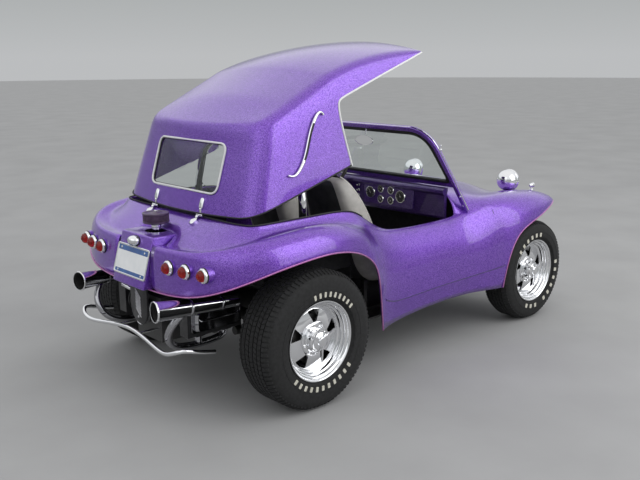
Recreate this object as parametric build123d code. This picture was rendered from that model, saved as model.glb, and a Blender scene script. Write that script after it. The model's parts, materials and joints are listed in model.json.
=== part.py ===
from build123d import *
from math import cos, radians, sin
import os

# Dune buggy on a shortened floor pan, with its hardtop raised on its rear hinges.
# Millimetres. X runs forward from the rear axle, Y to the left and Z up from the ground.
# Every piece is moved at the end so that the origin is below the middle of the whole car.

# Chassis layout
WHEELBASE = 2032
REAR_END_X = -688
FRONT_END_X = WHEELBASE + 430
GROUND_PAN = 270
PAN_THICK = 10
PAN_HALF_WIDTH = 560
PAN_REAR_X = 440
PAN_FRONT_X = WHEELBASE - 432
TUNNEL_WIDTH = 150
TUNNEL_HEIGHT = 150
TORSION_X = 396
TORSION_HALF = 436
FORK_R = 24
FRAME_HEAD_HALF = 110
FRAME_HEAD_Z = (262, 420)

# Wheels and tyres
REAR_TYRE_R = 360
REAR_TYRE_WIDTH = 250
REAR_WHEEL_Y = 710
FRONT_TYRE_R = 334
FRONT_TYRE_WIDTH = 205
FRONT_WHEEL_Y = 640
RIM_R = 209
TYRE_BEAD_R = 192
RIM_WALL = 7
RIM_INSET = 16
WHEEL_WINDOWS = 5
SPINNER_BARS = 3
DRUM_R = 125
REAR_DRUM_Y = 577

# Front axle and steering
KINGPIN_Y = 525
KINGPIN_R = 17
LUG_R = 16
LUG_THICK = 14
FRONT_DRUM_Y = KINGPIN_Y + 32
BEAM_X = WHEELBASE + 140
BEAM_TUBE_R = 26
BEAM_HALF = 400
BEAM_Z = (259, 409)
BRACKET_HALF = 22
ARM_Z = 421
ARM_THICK = 12
TRACK_ARM = 118
BALL_R = 13

# Body shell
SHELL = 8
FIT = 0.3
RAIL_Y = 600
TAIL_X = -560
COWL_X = WHEELBASE - 692
PLATE_BOX_HALF = 155
PLATE_BOX_TOP = 862
PLATE_BOX_FRONT = -330
PLATE_LEAN = 16
WELL_FLOOR_Z = 620
WELL_REAR_X = -150
WELL_HALF = 573
WELL_TOP_Z = 925
SEAT_BULKHEAD_X = 450
TOE_BOARD_X = WHEELBASE - 432

# Engine
ENGINE_FRONT_X = -95
ENGINE_REAR_X = -480
CASE_HALF = 120
CRANK_Z = 440
CYLINDER_X = (-380, -215)
CYLINDER_R = 66
FIN_R = 80
FIN_COUNT = 6
FIN_PITCH = 22
HEAD_Y = 268
HEAD_DEPTH = 70
HEAD_Z = (CRANK_Z - 78, CRANK_Z + 88)
FAN_Z = 670
FAN_HUB_R = 48
CARB_X = -410
HEADER_R = 19

# Hardtop, measured closed and raised about its hinge line
HINGE_X = -272
HINGE_Z = 952
HINGE_Y = 212
HINGE_WIDTH = 24
HINGE_BARREL_R = 7
PANEL_RUN = (0.594, 0.804)
TOP_OPEN = 18
TOP_WALL = 10
TOP_BASE_Z = 960
TOP_FRONT_X = WHEELBASE - 797
TOP_REAR_X = -279
TOP_BOW = 56
TOP_HALF = 598
TOP_CORNER_R = 90
TOP_TUMBLE = (TOP_HALF - 62, 1330)
TOP_EDGE = (TOP_HALF - 158, 1442)
TOP_CREASE = (271, 1436)
TOP_CROWN = (760, 1478)
TOP_RIDGE_Z = 1492
TOP_VISOR_Z = 1330
TOP_BEHIND_X = -500
LANDAU_R = 7
WINDOW_CENTRE = (-150, 0, 1154)
WINDOW_SIZE = (590, 250)
WINDOW_CORNER_R = 50

# Windscreen, in a plane that leans back
SCREEN_FOOT = (WHEELBASE - 592, 790)
SCREEN_LEAN = 62
SCREEN_RISE = 600
SCREEN_KNEE = 190
SCREEN_HALF = (622, 590, 500)
SCREEN_BEND = 150
SCREEN_LEG = (582, 560, 150)
SCREEN_BAR = 36
SCREEN_DEPTH = 26
GLASS = 6

# Exhaust, bumpers and lamps
MEGAPHONE_TIP_R = 52
MEGAPHONE_NECK_R = 28
MEGAPHONE_WALL = 4
MEGAPHONE_Y = 382
MEGAPHONE_LENGTH = 445
MEGAPHONE_Z = 560
BUMPER_TUBE = 22
HEADLAMP_R = 62
HEADLAMP_Y = 425
HEADLAMP_X = WHEELBASE + 88
HEADLAMP_Z = 900

# Cabin
ROLL_BAR_X = 190
ROLL_BAR_R = 22
WHEEL_CENTRE = (COWL_X - 220, 330, 1000)
WHEEL_R = 175
WHEEL_TILT = 38

parts = {}


def keep(name, *shapes):
    """File the solids of one node."""
    parts[name] = list(shapes)


def block(x0, x1, y0, y1, z0, z1):
    """Box between two corners."""
    return Pos((x0 + x1) / 2, (y0 + y1) / 2, (z0 + z1) / 2) * Box(x1 - x0, y1 - y0, z1 - z0)


def rod(start, end, radius, end_radius=None):
    """Round bar, or cone, from one point to another."""
    run = Vector(*end) - Vector(*start)
    at = Plane(origin=start, z_dir=run)
    low = (Align.CENTER, Align.CENTER, Align.MIN)
    if end_radius is None:
        return at * Cylinder(radius, run.length, align=low)
    return at * Cone(radius, end_radius, run.length, align=low)


def tube(route, bends, radius, bore=0):
    """Bent tube along straight runs joined by arcs."""
    path = FilletPolyline(*route, radius=bends)
    section = Circle(radius)
    if bore:
        section -= Circle(bore)
    return sweep(Plane(origin=path @ 0, z_dir=path % 0) * section, path=path)


def side_sheet(outline, y0, y1):
    """Outline of (x, z) points extruded from one Y to another."""
    face = Face(Wire.make_polygon([(x, y0, z) for x, z in outline]))
    return extrude(face, amount=y1 - y0, dir=(0, 1, 0))


def flipped(shape):
    """The same piece on the other side of the car."""
    return mirror(shape, about=Plane.XZ)


def offset_line(profile, depth, level_start):
    """The same line of points, moved to its inner side by one depth."""
    moved = []
    for i, (u, z) in enumerate(profile):
        before = profile[max(i - 1, 0)]
        after = profile[min(i + 1, len(profile) - 1)]
        if i == 0 and level_start:
            after = (after[0], before[1])
        run_u, run_z = after[0] - before[0], after[1] - before[1]
        size = (run_u ** 2 + run_z ** 2) ** 0.5
        moved.append((u + depth * run_z / size, z - depth * run_u / size))
    return moved


def upright_face(origin, across, arc_lines, closing):
    """Face in an upright plane, from lines of arcs joined by straight edges."""

    def place(point):
        u, z = point
        return Vector(origin[0] + u * across[0], origin[1] + u * across[1], z)

    edges = []
    for points in arc_lines:
        for i in range(0, len(points) - 2, 2):
            edges.append(ThreePointArc(*[place(point) for point in points[i:i + 3]]).edge())
    for start, end in closing:
        edges.append(Line(place(start), place(end)).edge())
    return Face(Wire(edges))


def strip_face(origin, across, profile, level_start=False):
    """The shell's wall cut by an upright plane."""
    inner = offset_line(profile, SHELL, level_start)
    ends = ((profile[-1], inner[-1]), (inner[0], profile[0]))
    return upright_face(origin, across, (profile, inner[::-1]), ends)


def core_face(origin, across, profile, depth, floor, level_start=False):
    """All that lies under the shell, or under a skin that stands off it, down to a floor."""
    skin = offset_line(profile, depth, level_start)
    low_end, low_start = (skin[-1][0], floor), (skin[0][0], floor)
    return upright_face(origin, across, (skin,),
                        ((skin[-1], low_end), (low_end, low_start), (low_start, skin[0])))


# Rear quarter: each row is a cut through the shell, from the rail outwards, walking from the
# middle of the tail round the corner to the front of the wheel arch. Columns: inner x, inner y,
# outer x, outer y, share of the wing's spacing, then the heights of rail, slope, pocket front,
# pocket floor, inner edge, top edge, shoulder, skirt and lip.
TAIL_SPREAD = (0.0, 0.2, 0.4, 0.62, 0.8, 0.89, 0.965, 0.993, 1.0)
WING_SPREAD = (0.0, 0.1, 0.2, 0.3, 0.44, 0.62, 0.86, 0.96, 1.0)
REAR_TURN_COUNT = 6
REAR_CUTS = (
    (-262, 0, -560, 0, 0, 943, 908, 868, 824, 824, 834, 800, 700, 600),
    (-262, 190, -559, 195, 0, 943, 907, 866, 822, 822, 834, 800, 700, 600),
    (-262, 380, -546, 400, 0, 943, 905, 866, 826, 826, 838, 804, 712, 614),
    (-256, 520, -488, 615, 0.3, 943, 905, 878, 848, 852, 864, 824, 744, 656),
    (-236, 585, -400, 745, 0.75, 944, 910, 890, 876, 886, 894, 850, 784, 716),
    (-190, 600, -262, 812, 1, 945, 914, 899, 897, 909, 914, 874, 822, 768),
    (-90, 600, -90, 832, 1, 945, 914, 902, 904, 922, 926, 890, 844, 794),
    (60, 600, 60, 834, 1, 945, 914, 902, 908, 931, 936, 900, 854, 804),
    (200, 600, 200, 824, 1, 945, 914, 900, 902, 918, 921, 882, 838, 788),
    (330, 600, 330, 800, 1, 945, 914, 893, 888, 893, 888, 846, 798, 746),
)

# Side panel: share of the way from the rear quarter to the cowl, then (y, z) of rim, rim roll,
# shoulder, bulge, seam, tuck, sill, ledge and pan edge.
SIDE_CUTS = (
    (0, (600, 945), (636, 908), (690, 884), (768, 832), (792, 700), (768, 430), (715, 276), (628, 280),
     (530, 281)),
    (0.168, (600, 905), (632, 880), (668, 840), (725, 720), (750, 560), (738, 400), (705, 276), (628, 280),
     (530, 281)),
    (0.347, (598, 785), (630, 768), (660, 735), (700, 630), (722, 510), (716, 400), (690, 284), (620, 285),
     (530, 281)),
    (0.663, (592, 775), (622, 760), (650, 730), (686, 630), (706, 520), (706, 410), (684, 306), (612, 296),
     (530, 281)),
    (1, (588, 782), (616, 768), (644, 735), (686, 630), (708, 520), (712, 410), (694, 305), (616, 296),
     (530, 281)),
)

# Front quarter: x from the front wheel, then (y, z) from the middle of the bonnet over the wing
# to the sill.
FRONT_CUTS = (
    (-692, (0, 958), (260, 953), (440, 938), (530, 905), (562, 862), (590, 790), (672, 690), (712, 500),
     (694, 305)),
    (-592, (0, 957), (255, 951), (430, 932), (520, 900), (560, 862), (592, 800), (676, 715), (722, 510),
     (704, 300)),
    (-412, (0, 948), (220, 940), (370, 912), (470, 880), (560, 868), (650, 838), (712, 700), (744, 480),
     (738, 290)),
    (-182, (0, 915), (200, 905), (320, 868), (420, 855), (560, 872), (665, 850), (722, 790), (752, 720),
     (756, 600)),
    (48, (0, 862), (180, 852), (300, 822), (400, 828), (540, 860), (650, 848), (712, 815), (744, 770),
     (752, 700)),
    (208, (0, 800), (170, 790), (280, 770), (380, 790), (500, 836), (600, 842), (662, 826), (700, 800),
     (716, 768)),
    (328, (0, 700), (150, 694), (260, 690), (350, 705), (450, 748), (530, 780), (590, 788), (630, 782),
     (650, 772)),
)
NOSE = ((0, 700), (26, 690), (42, 660), (48, 600), (44, 545), (32, 495), (10, 450))
NOSE_HALF = 330


def side_rows():
    """X and profile of each cut of the side panel."""
    start = REAR_CUTS[-1][0]
    for share, *profile in SIDE_CUTS:
        yield start + (COWL_X - start) * share, profile


def front_rows():
    """X and profile of each cut of the front quarter."""
    for offset, *profile in FRONT_CUTS:
        yield WHEELBASE + offset, profile


def cross_strips(rows, level_start=False):
    """The shell's wall at the X stations of a table."""
    return loft([strip_face((x, 0), (0, 1), profile, level_start) for x, profile in rows])


def rear_rows():
    """Origin, direction and profile of each cut of the rear quarter."""
    for ix, iy, ox, oy, wing, *heights in REAR_CUTS:
        span = ((ox - ix) ** 2 + (oy - iy) ** 2) ** 0.5
        spread = [a + (b - a) * wing for a, b in zip(TAIL_SPREAD, WING_SPREAD)]
        profile = [(share * span, z) for share, z in zip(spread, heights)]
        yield (ix, iy), ((ox - ix) / span, (oy - iy) / span), profile


def corner_joined(faces):
    """Loft round the tail's corner, joined to the loft along the wing."""
    return loft(faces[:REAR_TURN_COUNT]) + loft(faces[REAR_TURN_COUNT - 1:])


def rear_core(depth):
    """Left rear quarter as a solid form."""
    return corner_joined([core_face(*row, depth, 560) for row in rear_rows()])


def front_core(depth):
    """Left front quarter as a solid form."""
    return loft([core_face((x, 0), (0, 1), profile, depth, 280, True) for x, profile in front_rows()])


def arch_cutter(axle_x, outline, y0, y1):
    """Wheel opening as an outline extruded through the side."""
    return side_sheet([(axle_x + x, z) for x, z in outline], y0, y1)


REAR_ARCH = ((320, 100), (320, 742), (335, 736), (405, 690), (455, 616), (500, 463), (560, 250), (560, 100))
FRONT_ARCH = ((-357, 100), (-357, 290), (-342, 460), (-270, 600), (-182, 662), (-20, 662), (-20, 100))


def body_panels():
    """Shell of the left side in three lengths, and its mirror image."""
    rear = corner_joined([strip_face(*row) for row in rear_rows()])
    rear -= block(TAIL_X - 100, PLATE_BOX_FRONT, -1, PLATE_BOX_HALF, 500, 1000)
    side = cross_strips(side_rows()) - arch_cutter(0, REAR_ARCH, 480, 900)
    front = cross_strips(front_rows(), True) - arch_cutter(WHEELBASE, FRONT_ARCH, 400, 900)
    front += extrude(strip_face((WHEELBASE + FRONT_CUTS[-1][0] - 2, 0), (1, 0), NOSE), amount=NOSE_HALF,
                     dir=(0, 1, 0))
    for name, shape in (("rear_quarter", rear), ("side_panel", side), ("front_quarter", front)):
        keep(name + "_left", shape)
        keep(name + "_right", flipped(shape))


def inner_bodies():
    """Luggage well behind the seats, toe board and the box that carries the plate."""
    line = ((SEAT_BULKHEAD_X, 280), (SEAT_BULKHEAD_X, WELL_FLOOR_Z), (WELL_REAR_X, WELL_FLOOR_Z),
            (-250, WELL_TOP_Z))
    back = ((-241, WELL_TOP_Z), (WELL_REAR_X + 6, WELL_FLOOR_Z + SHELL),
            (SEAT_BULKHEAD_X + SHELL, WELL_FLOOR_Z + SHELL), (SEAT_BULKHEAD_X + SHELL, 280))
    well = side_sheet(line + back, -WELL_HALF, WELL_HALF)
    tunnel_top = GROUND_PAN + TUNNEL_HEIGHT + 1
    well -= block(SEAT_BULKHEAD_X - 1, SEAT_BULKHEAD_X + SHELL + 1, -TUNNEL_WIDTH / 2 - 1,
                  TUNNEL_WIDTH / 2 + 1, 200, tunnel_top)
    cheek = ((SEAT_BULKHEAD_X, WELL_FLOOR_Z), (SEAT_BULKHEAD_X, 880), (320, WELL_TOP_Z), (-250, WELL_TOP_Z),
             (WELL_REAR_X, WELL_FLOOR_Z))
    for side in (-1, 1):
        edge = sorted((side * WELL_HALF, side * (WELL_HALF - SHELL)))
        well += side_sheet(cheek, *edge)
    slab = block(TOE_BOARD_X, TOE_BOARD_X + SHELL, 0, 800, 280, 1000) & front_core(SHELL + 2 * FIT)
    toe_board = slab + flipped(slab)
    toe_board -= block(TOE_BOARD_X - 1, TOE_BOARD_X + SHELL + 1, -TUNNEL_WIDTH / 2 - 1, TUNNEL_WIDTH / 2 + 1,
                       200,
                       tunnel_top)
    keep("inner_body", well, toe_board)
    top_x = -600 + (PLATE_BOX_TOP - 600) * sin(radians(PLATE_LEAN)) / cos(radians(PLATE_LEAN))
    outline = ((-600, 600), (top_x, PLATE_BOX_TOP), (PLATE_BOX_FRONT, PLATE_BOX_TOP), (PLATE_BOX_FRONT, 600))
    inside = ((-600 + SHELL, 590), (top_x + SHELL, PLATE_BOX_TOP - SHELL),
              (PLATE_BOX_FRONT + 1, PLATE_BOX_TOP - SHELL),
              (PLATE_BOX_FRONT + 1, 590))
    half = PLATE_BOX_HALF - FIT
    box = side_sheet(outline, -half, half) - side_sheet(inside, SHELL - half, half - SHELL)
    box -= Pos(CARB_X, 0, PLATE_BOX_TOP) * Cylinder(62, 60)
    keep("plate_housing", box)


def floor_pan():
    """Pan with its centre tunnel, frame head and rear fork."""
    top = GROUND_PAN + PAN_THICK
    pan = block(PAN_REAR_X, PAN_FRONT_X, -PAN_HALF_WIDTH, PAN_HALF_WIDTH, GROUND_PAN, top)
    pan += block(PAN_REAR_X, BEAM_X - 270, -TUNNEL_WIDTH / 2, TUNNEL_WIDTH / 2, GROUND_PAN,
                 GROUND_PAN + TUNNEL_HEIGHT)
    pan += block(BEAM_X - 280, BEAM_X - BEAM_TUBE_R - FIT, -FRAME_HEAD_HALF, FRAME_HEAD_HALF, *FRAME_HEAD_Z)
    torsion_z = REAR_TYRE_R - 24
    for side in (-1, 1):
        route = [(TORSION_X, side * 130, torsion_z - 20), (250, side * 180, torsion_z - 60),
                 (-60, side * 182, torsion_z - 66)]
        pan += tube(route, 100, FORK_R)
    pan += rod((TORSION_X, -TORSION_HALF, torsion_z), (TORSION_X, TORSION_HALF, torsion_z), 42)
    pan += block(TORSION_X, PAN_REAR_X + 10, -70, 70, GROUND_PAN, 400)
    keep("floor_pan", pan)


def front_axle():
    """Twin beam tubes, trailing arms, knuckles, drums and track rod."""
    beam = None
    for z in BEAM_Z:
        bar = rod((BEAM_X, -BEAM_HALF, z), (BEAM_X, BEAM_HALF, z), BEAM_TUBE_R)
        beam = bar if beam is None else beam + bar
    for side in (-1, 1):
        beam += block(BEAM_X - BRACKET_HALF, BEAM_X + BRACKET_HALF, *sorted((side * 340, side * 352)),
                      BEAM_Z[0], 520)
    for name, side in (("left", 1), ("right", -1)):
        hub = (WHEELBASE, side * KINGPIN_Y)
        arms = [
            rod((BEAM_X, side * (BEAM_HALF - 1), z), (BEAM_X, side * (BEAM_HALF + 34), z), 30)
            + block(hub[0] - 14, BEAM_X, *sorted((side * (BEAM_HALF + 8), side * (BEAM_HALF + 28))), z - 16,
                    z + 16)
            + block(hub[0] - 14, hub[0] + 16, *sorted((side * (BEAM_HALF + 8), side * (KINGPIN_Y - 34))),
                    z - 14, z + 14)
            for z in BEAM_Z
        ]
        pin_ends = (BEAM_Z[0] - 10, ARM_Z + ARM_THICK)
        link = block(hub[0] - 16, hub[0] + 18, *sorted((side * (KINGPIN_Y - 58), side * (KINGPIN_Y - 32))),
                     pin_ends[0] - LUG_THICK, pin_ends[1] + LUG_THICK)
        for z in (pin_ends[0] - LUG_THICK, pin_ends[1] + FIT):
            link += rod((*hub, z), (*hub, z + LUG_THICK - FIT), LUG_R)
            link += block(hub[0] - 13, hub[0] + 13, *sorted((side * (KINGPIN_Y - 40), hub[1])), z,
                          z + LUG_THICK - FIT)
        beam += arms[0] + arms[1] + link
        knuckle = rod((*hub, pin_ends[0]), (*hub, pin_ends[1]), KINGPIN_R)
        plate_y = (side * (FRONT_DRUM_Y - 10), side * (FRONT_DRUM_Y - FIT))
        knuckle += rod((*hub, FRONT_TYRE_R), (hub[0], plate_y[1], FRONT_TYRE_R), 26)
        knuckle += rod((hub[0], plate_y[0], FRONT_TYRE_R), (hub[0], plate_y[1], FRONT_TYRE_R), DRUM_R)
        knuckle += block(hub[0] - TRACK_ARM, hub[0], *sorted((hub[1] - side * 9, hub[1] + side * 9)), ARM_Z,
                         ARM_Z + ARM_THICK)
        keep("knuckle_" + name, knuckle)
    keep("front_axle", beam)
    rod_x = WHEELBASE - TRACK_ARM
    ball_z = ARM_Z + ARM_THICK + FIT
    rod_z = ball_z + ARM_THICK
    track = rod((rod_x, -KINGPIN_Y, rod_z), (rod_x, KINGPIN_Y, rod_z), 9)
    for side in (-1, 1):
        track += rod((rod_x, side * KINGPIN_Y, ball_z), (rod_x, side * KINGPIN_Y, rod_z + 10), BALL_R)
    keep("track_rod", track)


def wheel(name, x, y, tyre_r, width, side, drum_gap):
    """Tyre, rim and brake drum of one wheel, turned about its own axle."""
    half = width / 2
    lay = Plane(origin=(x, y, tyre_r), x_dir=(1, 0, 0), z_dir=(0, side, 0))
    face = half - RIM_INSET
    tyre_profile = Polyline((TYRE_BEAD_R + FIT, 12 + FIT - face), (RIM_R + FIT, 8 + FIT - face),
                            (RIM_R + 20, -half),
                            (tyre_r - 52, -half + 2), (tyre_r - 14, -half + 22), (tyre_r, -half + 52),
                            (tyre_r, half - 52), (tyre_r - 14, half - 22), (tyre_r - 52, half - 2),
                            (RIM_R + 20, half), (RIM_R + FIT, face - 8 - FIT), (TYRE_BEAD_R + FIT,
                                    face - 12 - FIT),
                            (TYRE_BEAD_R + FIT, 12 + FIT - face))
    tyre = revolve(make_face(Plane.XZ * tyre_profile), Axis.Z)
    keep("tyre_" + name, lay * tyre)
    rim_profile = Polyline((RIM_R, -face), (RIM_R, -face + 8), (TYRE_BEAD_R, -face + 12),
                           (TYRE_BEAD_R, face - 12),
                           (RIM_R, face - 8), (RIM_R, face), (TYRE_BEAD_R - 6, face - 4),
                           (TYRE_BEAD_R - RIM_WALL, face - 16), (TYRE_BEAD_R - 20, face - 34), (150,
                                   face - 38),
                           (96, face - 26), (60, face - 30), (58, face - 12), (46, face - 4), (0, face - 2),
                           (0, face - 34), (92, face - 36), (146, face - 47), (TYRE_BEAD_R - 22, face - 44),
                           (TYRE_BEAD_R - RIM_WALL, face - 46), (TYRE_BEAD_R - RIM_WALL, -face + 12),
                           (TYRE_BEAD_R - 6, -face + 4), (RIM_R, -face))
    rim = revolve(make_face(Plane.XZ * rim_profile), Axis.Z)
    for i in range(WHEEL_WINDOWS):
        turn = 360 * i / WHEEL_WINDOWS
        window = extrude(Plane.XY * make_face(Polyline((88, 0), (140, -34), (158, 0), (140, 34), (88, 0))),
                         amount=300,
                         both=True)
        rim -= Rot(0, 0, turn) * window
    for i in range(SPINNER_BARS):
        wing = Pos(34, 0, face) * Box(68, 14, 12)
        rim += Rot(0, 0, 360 * i / SPINNER_BARS + 30) * wing
    drum_end = face - 40
    rim += Pos(0, 0, (drum_end + drum_gap) / 2) * Cylinder(DRUM_R, drum_end - drum_gap)
    keep("rim_" + name, lay * rim)


def rear_axle():
    """Gearbox, swing axle tubes, torsion tube, spring plates and dampers."""
    hub_z = REAR_TYRE_R
    axle = rod((240, 0, hub_z), (90, 0, hub_z), 55, 100)
    axle += rod((90, 0, hub_z), (ENGINE_FRONT_X + FIT, 0, hub_z), 100, 135)
    for side in (1, -1):
        axle += rod((0, side * 80, hub_z), (0, side * (REAR_DRUM_Y - 17), hub_z), 34)
        axle += rod((0, side * (REAR_DRUM_Y - 17), hub_z), (0, side * (REAR_DRUM_Y - FIT), hub_z), DRUM_R)
        plate = ((TORSION_X + 34, hub_z - 60), (TORSION_X + 34, hub_z), (-30, hub_z + 40), (-30, hub_z - 40))
        axle += side_sheet(plate, *sorted((side * (TORSION_HALF + FIT), side * (TORSION_HALF + 14))))
        axle += rod((0, side * 500, hub_z - 10), (-90, side * 500, hub_z - 10), 18)
        axle += rod((-90, side * 500, hub_z - 20), (-62, side * 485, 545), 26)
        axle += rod((-62, side * 485, 545), (-54, side * 480, WELL_FLOOR_Z - 8), 9)
    keep("rear_axle", axle)


def engine():
    """Flat four with its cooling shroud, belt drive and carburettor."""
    case = block(ENGINE_REAR_X, ENGINE_FRONT_X, -CASE_HALF, CASE_HALF, CRANK_Z - 150, CRANK_Z + 90)
    case += rod((ENGINE_REAR_X + 1, 0, CRANK_Z), (ENGINE_REAR_X - 40, 0, CRANK_Z), 60)
    keep("engine_case", case)
    banks = []
    covers = []
    for side in (1, -1):
        bank = block(-465, -130, *sorted((side * HEAD_Y, side * (HEAD_Y + HEAD_DEPTH))), *HEAD_Z)
        for x in CYLINDER_X:
            bank += rod((x, side * (CASE_HALF + FIT), CRANK_Z), (x, side * (HEAD_Y + 2), CRANK_Z), CYLINDER_R)
            for k in range(FIN_COUNT):
                y = CASE_HALF + 12 + FIN_PITCH * k
                bank += rod((x, side * y, CRANK_Z), (x, side * (y + 8), CRANK_Z), FIN_R)
        banks.append(bank)
        start = HEAD_Y + HEAD_DEPTH + FIT
        cover = block(-450, -145, *sorted((side * start, side * (start + 40))), CRANK_Z - 55, CRANK_Z + 65)
        outer_face = cover.faces().sort_by(Axis.Y)[-1 if side == 1 else 0]
        covers.append(chamfer(outer_face.edges(), 14))
    keep("cylinders", *banks)
    keep("valve_covers", *covers)
    shroud_base = CRANK_Z + 90 + FIT
    outline = Polyline((-250, shroud_base), (-290, 620), (-290, 680), (-150, 790), (150, 790), (290, 680),
                       (290, 620),
                       (250, shroud_base), (-250, shroud_base))
    shroud = extrude(Plane.YZ * make_face(outline), amount=45, both=True)
    shroud = Pos(-280, 0, 0) * shroud
    shroud += rod((-325, 0, FAN_Z), (-372, 0, FAN_Z), 100)
    shroud += rod((-370, 0, FAN_Z), (ENGINE_REAR_X - 25, 0, FAN_Z), FAN_HUB_R)
    keep("fan_shroud", shroud)
    guard_low = CRANK_Z + 20
    guard = block(-540, -528, -80, 80, guard_low, 700) + rod((-540, 0, guard_low), (-528, 0, guard_low), 80)
    for k in range(9):
        guard -= Pos(-534, 0, guard_low + 20 * k) * Rot(20, 0, 0) * Box(40, 84, 7)
    guard += rod((-529, 0, FAN_Z), (ENGINE_REAR_X - 25 - FIT, 0, FAN_Z), 40)
    keep("belt_guard", guard)
    cleaner = rod((CARB_X, 0, 930), (CARB_X, 0, 990), 70) + rod((CARB_X, 0, 990), (CARB_X, 0, 1003), 14)
    cleaner += rod((CARB_X, 0, 790), (CARB_X, 0, 930), 23)
    cleaner += block(CARB_X - 40, CARB_X + 34, -45, 45, FAN_Z + FAN_HUB_R + FIT, 800)
    keep("air_cleaner", cleaner)
    headers = []
    megaphones = []
    for side in (1, -1):
        run = Vector(440, side * 78, -15).normalized()
        tip = Vector(REAR_END_X + MEGAPHONE_TIP_R * (1 - run.X ** 2) ** 0.5, side * MEGAPHONE_Y, MEGAPHONE_Z)
        back = tip + run * MEGAPHONE_LENGTH
        wall = MEGAPHONE_WALL
        cone = rod(tip, back, MEGAPHONE_TIP_R, MEGAPHONE_NECK_R)
        megaphones.append(cone - rod(tip, back, MEGAPHONE_TIP_R - wall, MEGAPHONE_NECK_R - wall))
        port_z = HEAD_Z[0] - FIT
        rise = tip + run * 170
        route = [(CYLINDER_X[1], side * 300, port_z), (CYLINDER_X[1], side * 300, port_z - 40),
                 (-300, side * 302, port_z - 42), (-470, side * 306, port_z - 32), (-566, side * 330,
                         400), (rise.X, rise.Y, rise.Z - 10)]
        pipe = tube(route, [22, 60, 60, 40], HEADER_R)
        for x in CYLINDER_X[:1]:
            pipe += rod((x, side * 304, port_z), (x, side * 304, port_z - 45), HEADER_R)
        headers.append(pipe - rod(tip, back, MEGAPHONE_TIP_R + FIT, MEGAPHONE_NECK_R + FIT))
    keep("headers", *headers)
    keep("megaphones", *megaphones)


def bumpers():
    """Bent chrome tubes at both ends."""
    radius = BUMPER_TUBE / 2
    rear = [(-420, 505, 330), (-600, 500, 370), (-630, 395, 335), (-606, 120, 366), (-600, 0, 374)]
    full = rear + [(x, -y, z) for x, y, z in rear[-2::-1]]
    bumper = tube(full, 40, radius)
    for side in (1, -1):
        bumper += rod((-602, side * 100, 367), (ENGINE_REAR_X - FIT, side * 100, 367), 7)
    keep("rear_bumper", bumper)
    front_x = FRONT_END_X - radius
    front = [(BEAM_X + BRACKET_HALF + FIT, 346, 440), (front_x - 71, 345, 440), (front_x, 300, 520)]
    full = front + [(x, -y, z) for x, y, z in front[::-1]]
    keep("front_bumper", tube(full, 45, radius))


def screen_plane():
    """Plane of the leaning windscreen, its origin at the foot."""
    lean = radians(SCREEN_LEAN)
    return Plane(origin=(SCREEN_FOOT[0], 0, SCREEN_FOOT[1]), x_dir=(0, 1, 0),
                 z_dir=(sin(lean), 0, cos(lean)))


def windscreen():
    """Leaning frame whose legs run down beside the scuttle, and its glass."""
    at = screen_plane()
    foot, knee, head = SCREEN_HALF
    bar = SCREEN_BAR
    outline = ((-foot, 0), (-knee, SCREEN_KNEE), (-head, SCREEN_RISE), (head, SCREEN_RISE),
               (knee, SCREEN_KNEE), (foot, 0))
    bends = (1, SCREEN_BEND, SCREEN_BEND, 1)
    outer = make_face(FilletPolyline(*outline, radius=bends, close=False) + Line(outline[-1], outline[0]))
    hole = ((bar - knee, SCREEN_KNEE + bar), (bar - head, SCREEN_RISE - bar), (head - bar, SCREEN_RISE - bar),
            (knee - bar, SCREEN_KNEE + bar))
    bends = (40, SCREEN_BEND - 25, SCREEN_BEND - 25, 40)
    inner = make_face(FilletPolyline(*hole, radius=bends, close=True))
    low, high, rise = SCREEN_LEG
    foot = make_face(Polyline((-low, -10), (-high, rise), (high, rise), (low, -10), (-low, -10)))
    frame = extrude(at * (outer - inner - foot), amount=SCREEN_DEPTH / 2, both=True)
    scuttle = front_core(-FIT)
    frame = frame - scuttle - flipped(scuttle)
    keep("screen_frame", frame)
    keep("screen_glass", extrude(at * inner, amount=GLASS / 2, both=True))


def top_volume(wall):
    """Closed hardtop drawn in by one wall: its side view, front view and plan, extruded and crossed."""
    drop = wall * 1.05
    foot = TOP_CREASE[1] - (TOP_CREASE[0] - TOP_BEHIND_X) / 3
    arc = ThreePointArc((TOP_CREASE[0], TOP_CREASE[1] - drop), (TOP_CROWN[0], TOP_CROWN[1] - drop),
                        (TOP_FRONT_X, TOP_VISOR_Z - drop))
    rest = Polyline(arc @ 1, (TOP_FRONT_X, TOP_BASE_Z), (TOP_BEHIND_X, TOP_BASE_Z),
                    (TOP_BEHIND_X, foot - drop),
                    arc @ 0)
    side_view = extrude(Plane.XZ * make_face(arc + rest), amount=700, both=True)
    half = TOP_HALF - wall
    ends = ((-half, TOP_BASE_Z), (half, TOP_BASE_Z))
    sides = ((TOP_TUMBLE[0] - wall, TOP_TUMBLE[1]), (TOP_EDGE[0] - wall, TOP_EDGE[1] - drop))
    points = [(-y, z) for y, z in sides] + [(0, TOP_RIDGE_Z - drop)] + list(sides[::-1])
    section = make_face(FilletPolyline(ends[0], *points, ends[1], radius=(80, 80, 1200, 80, 80), close=False)
                        + Line(ends[1], ends[0]))
    front_view = Pos(-400, 0, 0) * extrude(Plane.YZ * section, amount=2200)
    rear = TOP_REAR_X + wall / PANEL_RUN[1]
    corner_x = rear + TOP_BOW
    bow = ThreePointArc((corner_x, half), (rear, 0), (corner_x, -half))
    plan = make_face(bow + Polyline((corner_x, -half), (2000, -half), (2000, half), (corner_x, half)))
    plan = fillet(plan.vertices().sort_by(Axis.X)[:2], TOP_CORNER_R - wall)
    lean = (PANEL_RUN[0], 0, PANEL_RUN[1])
    return side_view & front_view & extrude(Pos(0, 0, TOP_BASE_Z) * plan, amount=700, dir=lean)


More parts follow.
